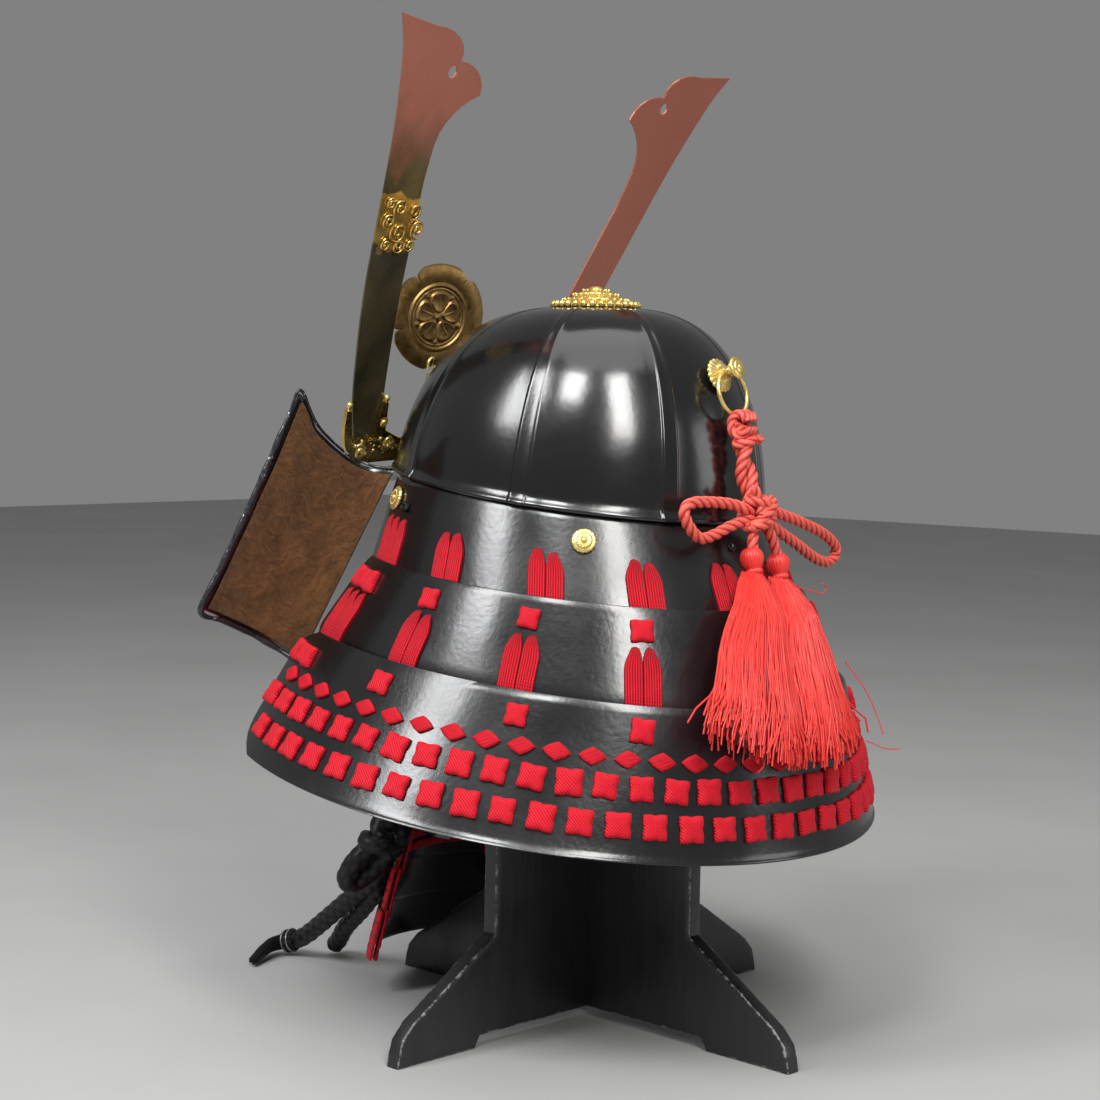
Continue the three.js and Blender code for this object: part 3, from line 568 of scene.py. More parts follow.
@dataclass(frozen=True)
class Suede:
    """Brown suede, paler on the raised creases of its wrinkles and mottled darker and lighter in cloudy folds
    and patches.
    """

    name: str = "brown_suede"
    dark: tuple[float, float, float] = (0.026, 0.010, 0.0035)
    light: tuple[float, float, float] = (0.150, 0.062, 0.020)

    def make(self) -> bpy.types.Material:
        """Make the material."""
        m = Nodes(self.name).set(Sheen_Weight=0.3, Sheen_Roughness=0.6, Sheen_Tint=(0.9, 0.55, 0.35),
                                 Specular_IOR_Level=0.15)
        fold = m.noise(34, 5, 0.62, 1.2)
        patch = m.noise(120, 5, 0.7, 0.4)
        nap = m.noise(2400, 2, 0.6)
        crest = m.node("Attribute", attribute_name="wear").outputs["Fac"]
        tone = m.math("ADD", m.math("ADD", m.math("MULTIPLY", fold, 0.5), m.math("MULTIPLY", patch, 0.45)),
                      m.math("MULTIPLY", crest, 0.14))
        shade = m.blend(m.range(tone, 0.36, 0.70), self.dark, self.light)
        m.link(m.blend(m.range(nap, 0.35, 0.7, 0.0, 0.3), shade, (0.20, 0.092, 0.036)), "Base Color")
        m.link(m.range(patch, 0.3, 0.7, 0.86, 0.98), "Roughness")
        crease = m.bump(m.noise(62, 5, 0.6, 2.2), 0.0042, 0.9)
        m.link(m.bump(nap, 0.00025, 0.8, m.bump(patch, 0.0009, 0.6, crease)), "Normal")
        return m.material


@dataclass(frozen=True)
class Braid:
    """Black silk braid with a dull painted sheen on the crest of each plait."""

    name: str = "black_braid"
    dark: tuple[float, float, float] = (0.003, 0.003, 0.0035)
    light: tuple[float, float, float] = (0.020, 0.020, 0.022)

    def make(self) -> bpy.types.Material:
        """Make the material."""
        m = Nodes(self.name).set(Sheen_Weight=0.0, Specular_IOR_Level=0.32)
        wear = m.node("Attribute", attribute_name="wear").outputs["Fac"]
        fine = m.noise(260, 3, 0.6, 0.3, m.stretched(3.0, 3.0, 3.0))
        # painted sheen: lighter where the plaits stand out
        m.link(m.blend(m.math("MULTIPLY", wear, m.range(fine, 0.3, 0.7, 0.4, 1.0)), self.dark, self.light),
               "Base Color")
        m.link(m.range(fine, 0.3, 0.7, 0.34, 0.5), "Roughness")
        m.link(m.bump(m.noise(1500, 2, 0.6), 0.0002, 0.8), "Normal")
        return m.material


@dataclass(frozen=True)
class WornPaint:
    """Black paint on wood, rubbed to pale wood along its edges."""

    name: str = "stand_paint"
    paint: tuple[float, float, float] = (0.008, 0.008, 0.009)
    bare: tuple[float, float, float] = (0.22, 0.22, 0.21)

    def make(self) -> bpy.types.Material:
        """Make the material."""
        m = Nodes(self.name).set(Coat_Weight=0.15, Coat_Roughness=0.25)
        wear = m.node("Attribute", attribute_name="wear").outputs["Fac"]
        spots = m.noise(210, 5, 0.7)
        rubbed = m.range(m.math("ADD", m.math("MULTIPLY", wear, 0.50), spots), 0.94, 1.06)
        grain = m.noise(30, 4, 0.6, 0.4, m.stretched(1.0, 1.0, 0.12))
        base = m.blend(m.range(grain, 0.35, 0.75), self.paint, (0.016, 0.016, 0.018))
        scuff = m.range(m.noise(70, 6, 0.75, 0.8), 0.63, 0.72, 0.0, 0.22)
        m.link(m.blend(rubbed, m.blend(scuff, base, (0.10, 0.10, 0.10)), self.bare), "Base Color")
        m.link(m.range(m.noise(55, 4), 0.3, 0.7, 0.3, 0.5), "Roughness")
        m.link(m.bump(m.noise(26, 5, 0.6, 0.3, m.stretched(6.0, 6.0, 0.5)), 0.0006, 0.5), "Normal")
        return m.material


@dataclass(frozen=True)
class RubbedRim:
    """Black rim paint with silvery metal showing in worn spots."""

    name: str = "rubbed_rim"

    def make(self) -> bpy.types.Material:
        """Make the material."""
        m = Nodes(self.name).set(Coat_Weight=0.3, Coat_Roughness=0.2)
        worn = m.range(m.noise(95, 4, 0.7), 0.60, 0.66)
        m.link(m.blend(worn, (0.012, 0.013, 0.016), (0.52, 0.54, 0.58)), "Base Color")
        m.link(m.math("MULTIPLY", worn, 0.85), "Metallic")
        m.link(m.range(m.noise(220, 3), 0.3, 0.7, 0.2, 0.42), "Roughness")
        m.link(m.bump(m.noise(120, 4), 0.0009, 0.7), "Normal")
        return m.material


class Finishes:
    """Every material of the helmet, made once."""

    def __init__(self) -> None:
        """Make them all."""
        self.lacquer = Lacquer().make()
        self.plate = Lacquer("plate_lacquer", (0.005, 0.005, 0.006), (0.19, 0.31), 0.0001).make()
        self.gilt = Gilt().make()
        self.pale_gilt = Gilt("pale_gilt", (0.92, 0.72, 0.28), (0.70, 0.48, 0.13), (0.22, 0.36), 0.00008,
                              0.8).make()
        self.old_gilt = Gilt("old_gilt", (0.42, 0.27, 0.10), (0.24, 0.14, 0.05), (0.28, 0.44), 0.00012).make()
        # painted reflection on both horns: red above, dark olive bronze below the height given, which differs
        # between them
        self.horn_left = HornSheet("horn_bronze_and_copper", 542.0, (484.0, 516.0)).make()
        self.horn_right = HornSheet("horn_copper", 300.0).make()
        self.lace = Lace().make()
        self.knot = Lace("red_knot", (0.36, 0.003, 0.010), ribs=8.0, slant=8.0, relief=0.00032).make()
        self.rope = SilkThread("red_rope", grooved=True).make()
        # the tassel core is a darker red sheet: painted shade between the hanging threads
        self.tassel = SilkThread("red_tassel", (0.14, 0.002, 0.003), (0.46, 0.014, 0.013), 44.0, 0.0,
                                 0.0004).make()
        self.strand = SilkThread("red_strand", (0.58, 0.014, 0.012), (0.84, 0.05, 0.038), 2.0, 0.0,
                                 0.00002).make()
        self.suede = Suede().make()
        self.braid = Braid().make()
        self.ribbon = Lace("black_ribbon", (0.002, 0.002, 0.002), (0.012, 0.012, 0.013), 12.0).make()
        self.silver = Gilt("silver_thread", (0.42, 0.42, 0.42), (0.2, 0.2, 0.2), (0.3, 0.45), 0.0001,
                           0.8).make()
        self.stand = WornPaint().make()
        self.rim = RubbedRim().make()


def along_line(points: Sequence[Vector], steps: int, closed: bool = False) -> list[Vector]:
    """Even steps along a smooth line through points.

    Args:
        points: The points the line goes through.
        steps: How many parts it is cut into.
        closed: Whether it comes back to its start.

    Returns:
        The places along it, one more than the steps, or as many as the steps when closed.
    """
    count = len(points)
    fine: list[Vector] = []
    for i in range(count if closed else count - 1):
        p = [points[(i + k) % count] if closed else points[max(0, min(count - 1, i + k))]
             for k in (-1, 0, 1, 2)]
        for k in range(16):
            t = k / 16
            fine.append(0.5 * (2 * p[1] + (p[2] - p[0]) * t + (2 * p[0] - 5 * p[1] + 4 * p[2] - p[3]) * t * t
                               + (3 * p[1] - p[0] - 3 * p[2] + p[3]) * t ** 3))
    fine.append(points[0].copy() if closed else points[-1].copy())
    lengths = [0.0]
    for a, b in zip(fine, fine[1:]):
        lengths.append(lengths[-1] + (b - a).length)
    made, i = [], 0
    for k in range(steps if closed else steps + 1):
        target = lengths[-1] * k / steps
        while i < len(fine) - 2 and lengths[i + 1] < target:
            i += 1
        part = (target - lengths[i]) / max(lengths[i + 1] - lengths[i], 1e-9)
        made.append(fine[i].lerp(fine[i + 1], min(1.0, part)))
    return made


def length_of(points: Sequence[Vector]) -> float:
    """The length of a line through points."""
    return sum((b - a).length for a, b in zip(points, points[1:]))


def frames(line: Sequence[Vector], closed: bool = False) -> list[tuple[Vector, Vector, Vector]]:
    """The direction and two square directions at each point of a line, turning as little as they can."""
    count = len(line)
    tangents = []
    for i in range(count):
        a = line[i - 1] if closed or i > 0 else line[0]
        b = line[(i + 1) % count] if closed or i < count - 1 else line[-1]
        tangents.append(unit(b - a))
    side = unit(tangents[0].orthogonal())
    made = []
    for i, t in enumerate(tangents):
        if i:
            side = tangents[i - 1].rotation_difference(t) @ side
        side = unit(side - t * side.dot(t))
        made.append((t, side, t.cross(side)))
    return made


def tube(line: Sequence[Vector], radius: float | Sequence[float], sides: int = 12, closed: bool = False,
         section: Callable[[float, float], float] | None = None,
         scale: tuple[float, float] = (1.0, 1.0)) -> Shape:
    """A round bar along a line.

    Args:
        line: The middle of the bar.
        radius: Its radius, or one for each point.
        sides: Points round it.
        closed: Whether the line is a loop.
        section: What the radius is multiplied by, from the distance along the line and the angle round it.
        scale: How far the pattern runs along and around.

    Returns:
        The closed bar.
    """
    rows, travelled = [], 0.0
    for i, (p, (_, side, up)) in enumerate(zip(line, frames(line, closed))):
        travelled += (p - line[i - 1]).length if i else 0.0
        r = radius if isinstance(radius, (int, float)) else radius[i]
        row = []
        for k in range(sides):
            turn = 2 * math.pi * k / sides
            reach = r * (section(travelled, turn) if section else 1.0)
            row.append(p + side * reach * math.cos(turn) + up * reach * math.sin(turn))
        rows.append(row)
    return grid(rows, True, True, scale) if closed else capped(rows, scale)


def vectors(points: Iterable[Iterable[float]]) -> list[Vector]:
    """Points as vectors."""
    return [Vector(p) for p in points]


# ---------------------------------------------------------------- the helmet's surfaces


@dataclass(frozen=True)
class Ring:
    """A level ellipse tipped up towards the face, in millimetres and degrees."""

    a: float
    b: float
    y: float
    z: float
    tilt: float

    def at(self, angle: float) -> Vector:
        """A point on the ring at an angle from the middle of the back towards the wearer's left."""
        t = math.radians(angle)
        y = self.a * math.cos(t)
        return Vector((self.b * math.sin(t), self.y + y, self.z - math.tan(math.radians(self.tilt)) * y))


@dataclass(frozen=True)
class PlateForm:
    """The outer face of a neck plate, through two or three rings."""

    rings: tuple[Ring, ...]
    end: float
    thick: float = 1.8

    def at(self, angle: float, down: float) -> Vector:
        """A point at an angle, with down running from 0 at the top edge to 1 at the bottom."""
        z = mix(self.rings[0].z, self.rings[-1].z, down)
        i = 0
        while i < len(self.rings) - 2 and z < self.rings[i + 1].z:
            i += 1
        share = (self.rings[i].z - z) / (self.rings[i].z - self.rings[i + 1].z)
        return self.rings[i].at(angle).lerp(self.rings[i + 1].at(angle), share)

    def frame(self, angle: float, down: float) -> tuple[Vector, Vector, Vector]:
        """The directions along the plate, down it and out of it."""
        along = unit(self.at(angle + 0.05, down) - self.at(angle - 0.05, down))
        fall = unit(self.at(angle, down + 0.004) - self.at(angle, down - 0.004))
        out = unit(along.cross(fall))
        return along, unit(out.cross(along)), out

    def proud(self, angle: float, down: float, out: float) -> Vector:
        """A point that stands out from the face."""
        return self.at(angle, down) + self.frame(angle, down)[2] * out

    def step(self, angle: float, down: float) -> float:
        """Millimetres along the plate for one degree."""
        return (self.at(angle + 0.5, down) - self.at(angle - 0.5, down)).length


PLATES = (
    PlateForm((Ring(121, 111, -15, 336.1, 7.3), Ring(146, 133, -10.5, 268, 6.0)), 128),
    PlateForm((Ring(145, 133, -10, 287, 6.0), Ring(174, 153, -20, 239.5, 7.0),
               Ring(177, 155.5, -21, 228, 7.0)), 123),
    PlateForm((Ring(183, 161, -21, 239.5, 7.0), Ring(208, 202, -33, 161.6, 8.3)), 121),
)


@dataclass(frozen=True)
class BowlForm:
    """The bowl's rounded shape above its tipped edge."""

    edge: Ring = Ring(121, 111, -15, 337, 7.3)
    top: float = 451.0
    top_y: float = -4.0
    squareness: float = 3.3
    rise_power: float = 1.7

    def at(self, angle: float, rise: float, proud: float = 0.0) -> Vector:
        """A point at an angle and a share of the rise, moved out."""
        t = math.radians(angle)
        shrink = max(0.0, 1 - rise ** self.rise_power) ** (1 / self.squareness)
        foot = self.edge.at(angle).z
        return Vector(((self.edge.b * shrink + proud) * math.sin(t),
                       mix(self.edge.y, self.top_y, rise) + (self.edge.a * shrink + proud) * math.cos(t),
                       mix(foot, self.top, rise) + proud * rise ** 4))


BOWL = BowlForm()


# ---------------------------------------------------------------- camera and light


@dataclass(frozen=True)
class Studio:
    """Where the camera stands, and the plain pale floor and soft lamps round the helmet."""

    azimuth: float = 0.8552113
    distance: float = 1386.267
    aside: float = -28.788
    height: float = 397.754
    pitch: float = 0.071811
    roll: float = 0.019138
    lens: float = 72.0
    floor: float = 5.0

    def camera(self) -> None:
        """Stand the camera behind the wearer's left shoulder."""
        right = Vector((-math.cos(self.azimuth), math.sin(self.azimuth), 0))
        forward = Vector((-math.sin(self.azimuth), -math.cos(self.azimuth), 0))
        place = -forward * self.distance + right * self.aside + Vector((0, 0, self.height))
        look = forward * math.cos(self.pitch) - Vector((0, 0, math.sin(self.pitch)))
        up = right.cross(look)
        turned = right * math.cos(self.roll) + up * math.sin(self.roll)
        above = up * math.cos(self.roll) - right * math.sin(self.roll)
        data = bpy.data.cameras.new("camera")
        data.lens, data.sensor_width, data.clip_end = self.lens, 36.0, 20.0
        made = bpy.data.objects.new("camera", data)
        bpy.context.scene.collection.objects.link(made)
        turn = Matrix((turned, above, -look)).transposed().to_4x4()
        made.matrix_world = Matrix.Translation(placed(place)) @ turn
        bpy.context.scene.camera = made

    def lamp(self, name: str, azimuth: float, elevation: float, distance: float, size: tuple[float, float],
             power: float, colour: tuple[float, float, float] = (1.0, 1.0, 1.0)) -> None:
        """Hang a soft rectangular lamp that faces the helmet.

        Args:
            name: The lamp's name.
            azimuth: Its direction in degrees from the middle of the back to the wearer's left.
            elevation: Its height over the helmet's middle, in degrees.
            distance: How far away it hangs, in metres.
            size: Its width and height in metres.
            power: Its power in watts.
            colour: Its colour.
        """
        t, e = math.radians(azimuth), math.radians(elevation)
        direction = Vector((math.sin(t) * math.cos(e), math.cos(t) * math.cos(e), math.sin(e)))
        data = bpy.data.lights.new(name, "AREA")
        data.shape, data.energy, data.color = "RECTANGLE", power, colour
        data.size, data.size_y = size
        made = bpy.data.objects.new(name, data)
        bpy.context.scene.collection.objects.link(made)
        middle = Vector((0, 0, 0.33))
        turn = direction.to_track_quat("Z", "Y").to_matrix().to_4x4()
        made.matrix_world = Matrix.Translation(middle + direction * distance) @ turn

    def light(self) -> None:
        """Light the helmet from the side and from above."""
        world = bpy.data.worlds.new("studio")
        world.use_nodes = True
        world.node_tree.nodes["Background"].inputs["Color"].default_value = (0.27, 0.275, 0.27, 1.0)
        world.node_tree.nodes["Background"].inputs["Strength"].default_value = 0.8
        bpy.context.scene.world = world
        self.lamp("tall_window", 33, 38, 1.9, (0.40, 1.10), 24, (1.0, 0.99, 0.97))
        self.lamp("side_window", 71, 46, 2.1, (0.42, 0.62), 17, (0.98, 0.99, 1.0))
        self.lamp("far_window", 106, 38, 2.2, (0.55, 1.0), 25, (0.98, 0.99, 1.0))
        self.lamp("overhead", 40, 80, 2.0, (1.6, 1.6), 15)
        self.lamp("low_fill", -30, 12, 2.4, (0.9, 0.9), 5)

    def ground(self) -> None:
        """Lay the pale floor."""
        m = Nodes("floor")
        m.link(m.blend(m.range(m.noise(3.0, 4), 0.3, 0.7), (0.40, 0.40, 0.395), (0.44, 0.44, 0.435)),
               "Base Color")
        m.link(m.range(m.noise(9.0, 3), 0.3, 0.7, 0.6, 0.75), "Roughness")
        m.link(m.bump(m.noise(260, 3), 0.0003, 0.4), "Normal")
        mesh = bpy.data.meshes.new("floor")
        s = self.floor
        mesh.from_pydata([(-s, -s, 0), (s, -s, 0), (s, s, 0), (-s, s, 0)], [], [(0, 1, 2, 3)])
        made = bpy.data.objects.new("floor", mesh)
        bpy.context.scene.collection.objects.link(made)
        made.data.materials.append(m.material)

    def build(self) -> None:
        """Set the whole studio up, with colours shown as they are."""
        bpy.context.scene.view_settings.view_transform = "Standard"
        self.camera()
        self.light()
        self.ground()


# ---------------------------------------------------------------- bowl and its fittings


@dataclass
class Bowl:
    """Eight lacquered plates lapped into one shell, with narrow raised strips and a turned edge."""

    finishes: Finishes
    ribs: int = 8
    rib_proud: float = 1.0
    lip: float = 2.4
    shell: float = 2.0
    rows: int = 66

    def columns(self) -> list[tuple[float, float]]:
        """The angles round the bowl, each with how far the strip stands out there."""
        sector, made = 360 / self.ribs, []
        strip = [(-0.5, 0.0), (-0.22, 0.15), (0.0, 0.6), (0.25, 0.95), (0.7, 1.05), (1.2, 0.82), (2.5, 0.8),
                 (3.9, 0.82), (4.5, 1.0), (4.85, 0.9), (5.1, 0.45), (5.35, 0.1), (5.6, 0.0)]
        for i in range(self.ribs):
            rib = (i + 0.5) * sector
            made += [(rib + a, self.rib_proud * p) for a, p in strip]
            made += [(mix(rib + 5.6, rib + sector - 0.5, k / 12), 0.0) for k in range(1, 12)]
        return made

    def rolled(self, rise: float) -> float:
        """How far the edge rolls out at a share of the rise."""
        cove = 1 - smooth(0.0, 0.075, rise)
        bead = math.exp(-((rise - 0.012) / 0.012) ** 2)
        return self.lip * cove ** 1.6 + 0.5 * bead

    def shape(self) -> Shape:
        """The shell as one closed shape."""
        turns = [math.pi / 2 * (i / self.rows) * 0.985 for i in range(self.rows + 1)]
        rises = sorted({0.0, 0.004, 0.009, 0.014, 0.02, 0.028, 0.038, 0.05, 0.064, 0.08}
                       | {math.sin(t) ** 1.176 for t in turns if math.sin(t) ** 1.176 > 0.085})
        columns = self.columns()
        outer = [[BOWL.at(a, r, self.rolled(r) + rib * (1 - 0.7 * r)) for a, rib in columns] for r in rises]
        inner = []
        for r in rises:
            row = []
            for a, _ in columns:
                p = BOWL.at(a, r, self.rolled(r) - self.shell)
                p.z = BOWL.at(a, r).z - (0 if r == 0 else self.shell * r)
                row.append(p)
            inner.append(row)
        return capped(inner[::-1] + outer, (1.0, 8.0))

    def build(self) -> None:
        """Make the shell, with its visor."""
        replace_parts(piece("bowl_shell", self.shape(), self.finishes.lacquer, 30), "bowl")
        self.visor()

    def visor(self) -> None:
        """The curved peak over the brow."""
        root = Ring(BOWL.edge.a + 2.2, BOWL.edge.b + 2.2, BOWL.edge.y, BOWL.edge.z - 3, BOWL.edge.tilt)

        def at(angle: float, out: float) -> Vector:
            """A point of the outer face."""
            start = root.at(angle)
            reach = 44 * max(0.0, math.sin(math.radians((angle - 133) / 94 * 180))) ** 0.6
            return Vector((start.x * (1 + 0.1 * out), start.y - reach * out, start.z - 13 * out * out))

        made = wall(at, spread(135, 225, 60), spread(0, 1, 16), self.shell, 5)
        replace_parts(piece("visor_peak", made, self.finishes.lacquer), "visor")


@dataclass
class TopOrnament:
    """The gilt crown fitting: petalled tiers, granules between them and a ring of beads."""

    finishes: Finishes
    seat: float = 451.6
    beads: int = 30

    def tiers(self) -> Shape:
        """The stacked discs, with their petals."""
        made = Shape()
        for radius, inside, low, high, petals in ((24.5, 17.5, -1.4, 3.6, 16), (18.5, 10.5, 3.0, 7.0, 12),
                                                  (11.8, 5.0, 6.4, 10.2, 8)):
            def flute(turn: float, height: float, n: int = petals, r: float = radius) -> float:
                """How far the petals stand out round a tier."""
                return r * 0.055 * (abs(math.cos(n * turn / 2)) ** 0.7 - 0.6)

            profile = [(radius * 0.86, low), (radius * 0.97, low + 0.4), (radius, low + 1.3),
                       (radius * 0.97, low + 2.2), (mix(radius, inside, 0.45), mix(low, high, 0.72)),
                       (inside, high), (inside * 0.5, high - 0.2)]
            made.add(lathe(profile, petals * 8, flute))
        made.add(lathe([(3.4, 9.4), (4.6, 10.0), (4.9, 11.0), (4.0, 12.2), (2.2, 12.9), (0.6, 13.1)], 24))
        return made

    def granules(self) -> Shape:
        """The beads round the lowest tier and the smaller ones round the others."""
        made = Shape()
        for radius, height, count, size in ((26.6, 1.3, self.beads, 2.35), (20.6, 4.2, 24, 1.35),
                                            (14.2, 7.6, 18, 1.2), (8.2, 10.4, 12, 1.0)):
            bead = ball(size, 12 if size > 2 else 8)
            for i in range(count):
                t = 2 * math.pi * i / count
                made.add(bead.turned(moved(radius * math.cos(t), radius * math.sin(t), height)))
        return made

    def build(self) -> None:
        """Make the ornament on top of the bowl."""
        made = self.tiers().add(self.granules()).turned(moved(0, BOWL.top_y, self.seat - 0.4))
        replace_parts(piece("crown_fitting", made, self.finishes.pale_gilt, 50), "top_ornament")


# ---------------------------------------------------------------- repeating with geometry nodes


@dataclass
class Spot:
    """One place of a repeated shape: where it stands, which way it faces, and how large it is."""

    place: Vector
    along: Vector
    out: Vector
    size: tuple[float, float, float] = (1.0, 1.0, 1.0)


class Scatter:
    """Sets copies of one small mesh on many spots with a geometry-nodes tree."""

    def __init__(self, seed: int = 7) -> None:
        """Build the tree once.

        Args:
            seed: The fixed seed of the small differences between the copies.
        """
        tree = bpy.data.node_groups.new("copies_on_spots", "GeometryNodeTree")
        self.tree, self.seed = tree, seed
        face = tree.interface
        face.new_socket("Geometry", in_out="OUTPUT", socket_type="NodeSocketGeometry")
        self.names = {}
        for name, kind in (("Geometry", "NodeSocketGeometry"), ("Copy", "NodeSocketObject"),
                           ("Finish", "NodeSocketMaterial"), ("Unevenness", "NodeSocketFloat"),
                           ("Seed", "NodeSocketInt")):
            self.names[name] = face.new_socket(name, in_out="INPUT", socket_type=kind).identifier
        add = tree.nodes.new
        link = tree.links.new
        into, out = add("NodeGroupInput"), add("NodeGroupOutput")
        info, many = add("GeometryNodeObjectInfo"), add("GeometryNodeInstanceOnPoints")
        turn, size = add("GeometryNodeInputNamedAttribute"), add("GeometryNodeInputNamedAttribute")
        turn.data_type, size.data_type = "FLOAT_VECTOR", "FLOAT_VECTOR"
        turn.inputs["Name"].default_value, size.inputs["Name"].default_value = "turn", "size"
        loose, low, high = add("FunctionNodeRandomValue"), add("ShaderNodeMath"), add("ShaderNodeMath")
        loose.data_type = "FLOAT"
        low.operation, high.operation = "SUBTRACT", "ADD"
        grow = add("ShaderNodeVectorMath")
        grow.operation = "SCALE"
        real, dressed = add("GeometryNodeRealizeInstances"), add("GeometryNodeSetMaterial")
        low.inputs[0].default_value = high.inputs[0].default_value = 1.0
        link(into.outputs["Unevenness"], low.inputs[1])
        link(into.outputs["Unevenness"], high.inputs[1])
        link(low.outputs[0], loose.inputs[2])
        link(high.outputs[0], loose.inputs[3])
        link(into.outputs["Seed"], loose.inputs["Seed"])
        link(size.outputs[0], grow.inputs[0])
        link(loose.outputs[1], grow.inputs["Scale"])
        link(into.outputs["Geometry"], many.inputs["Points"])
        link(into.outputs["Copy"], info.inputs["Object"])
        link(info.outputs["Geometry"], many.inputs["Instance"])
        link(turn.outputs[0], many.inputs["Rotation"])
        link(grow.outputs[0], many.inputs["Scale"])
        link(many.outputs["Instances"], real.inputs["Geometry"])
        link(real.outputs[0], dressed.inputs["Geometry"])
        link(into.outputs["Finish"], dressed.inputs["Material"])
        link(dressed.outputs[0], out.inputs[0])

    def over(self, name: str, copy: Shape, spots: Sequence[Spot], finish: bpy.types.Material,
             uneven: float = 0.04, sharp: float = 50.0) -> bpy.types.Object:
        """Set copies of a shape on the spots and join them into one mesh.

        Args:
            name: The name of the joined piece.
            copy: The repeated shape, round the origin, with X along and Z out.
            spots: The places.
            finish: The material.
            uneven: The share by which sizes differ.
            sharp: Edges with a larger turn than this stay crisp.

        Returns:
            The joined piece.
        """
        small = bpy.data.meshes.new(name + "_copy")
        small.from_pydata([p * MM for p in copy.points], [], copy.faces)
        layer = small.uv_layers.new(name="pattern")
        layer.data.foreach_set("uv", [c for loop in small.loops for c in copy.pattern[loop.vertex_index]])
        small.polygons.foreach_set("use_smooth", [True] * len(small.polygons))
        small.set_sharp_from_angle(angle=math.radians(sharp))
        model = bpy.data.objects.new(name + "_copy", small)
        points = bpy.data.meshes.new(name + "_spots")
        points.from_pydata([placed(s.place) for s in spots], [], [])
        turns, sizes = [], []
        for s in spots:
            x = unit(s.along - s.out * s.along.dot(s.out))
            matrix = Matrix((x, s.out.cross(x), s.out)).transposed()
            turns += list(matrix.to_euler("XYZ"))
            sizes += list(s.size)
        points.attributes.new("turn", "FLOAT_VECTOR", "POINT").data.foreach_set("vector", turns)
        points.attributes.new("size", "FLOAT_VECTOR", "POINT").data.foreach_set("vector", sizes)
        holder = bpy.data.objects.new(name + "_spots", points)
        for made in (model, holder):
            bpy.context.scene.collection.objects.link(made)
        modifier = holder.modifiers.new("copies", "NODES")
        modifier.node_group = self.tree
        modifier[self.names["Copy"]] = model
        modifier[self.names["Finish"]] = finish
        modifier[self.names["Unevenness"]] = uneven
        modifier[self.names["Seed"]] = self.seed
        graph = bpy.context.evaluated_depsgraph_get()
        joined = bpy.data.meshes.new_from_object(holder.evaluated_get(graph))
        joined.name = name
        made = bpy.data.objects.new(name, joined)
        bpy.context.scene.collection.objects.link(made)
        for used in (model, holder):
            bpy.data.objects.remove(used)
        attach(made, ROOT)
        log.info("%s: %d copies, %d faces", name, len(spots), len(joined.polygons))
        return made


# ---------------------------------------------------------------- neck plates and lacing


@dataclass
class NeckPlates:
    """The three lapped plates of the neck guard."""

    finishes: Finishes
    columns: int = 150

    def build(self) -> None:
        """Make each plate, the lowest with rounded front ends and a turned lower edge."""
        for i, plate in enumerate(PLATES):
            rounding = 7.0 if i == 2 else 2.0

            def at(share: float, down: float, p: PlateForm = plate, r: float = rounding) -> Vector:
                """A point of the outer face."""
                end = p.end - r * abs(2 * down - 1) ** 6
                turned = 0.9 * smooth(0.965, 1.0, down) if p is PLATES[2] else 0.0
                lifted = p.frame(share * end, min(down, 0.99))[2] * turned if turned else Vector()
                return p.at(share * end, down) + lifted

            downs = sorted(set(spread(0, 1, 18)) | {0.975, 0.985, 0.993})
            made = wall(at, spread(-1, 1, self.columns), downs, plate.thick, 5)
            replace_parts(piece(f"neck_plate_{i + 1}_shell", made, self.finishes.plate), f"neck_plate_{i + 1}")


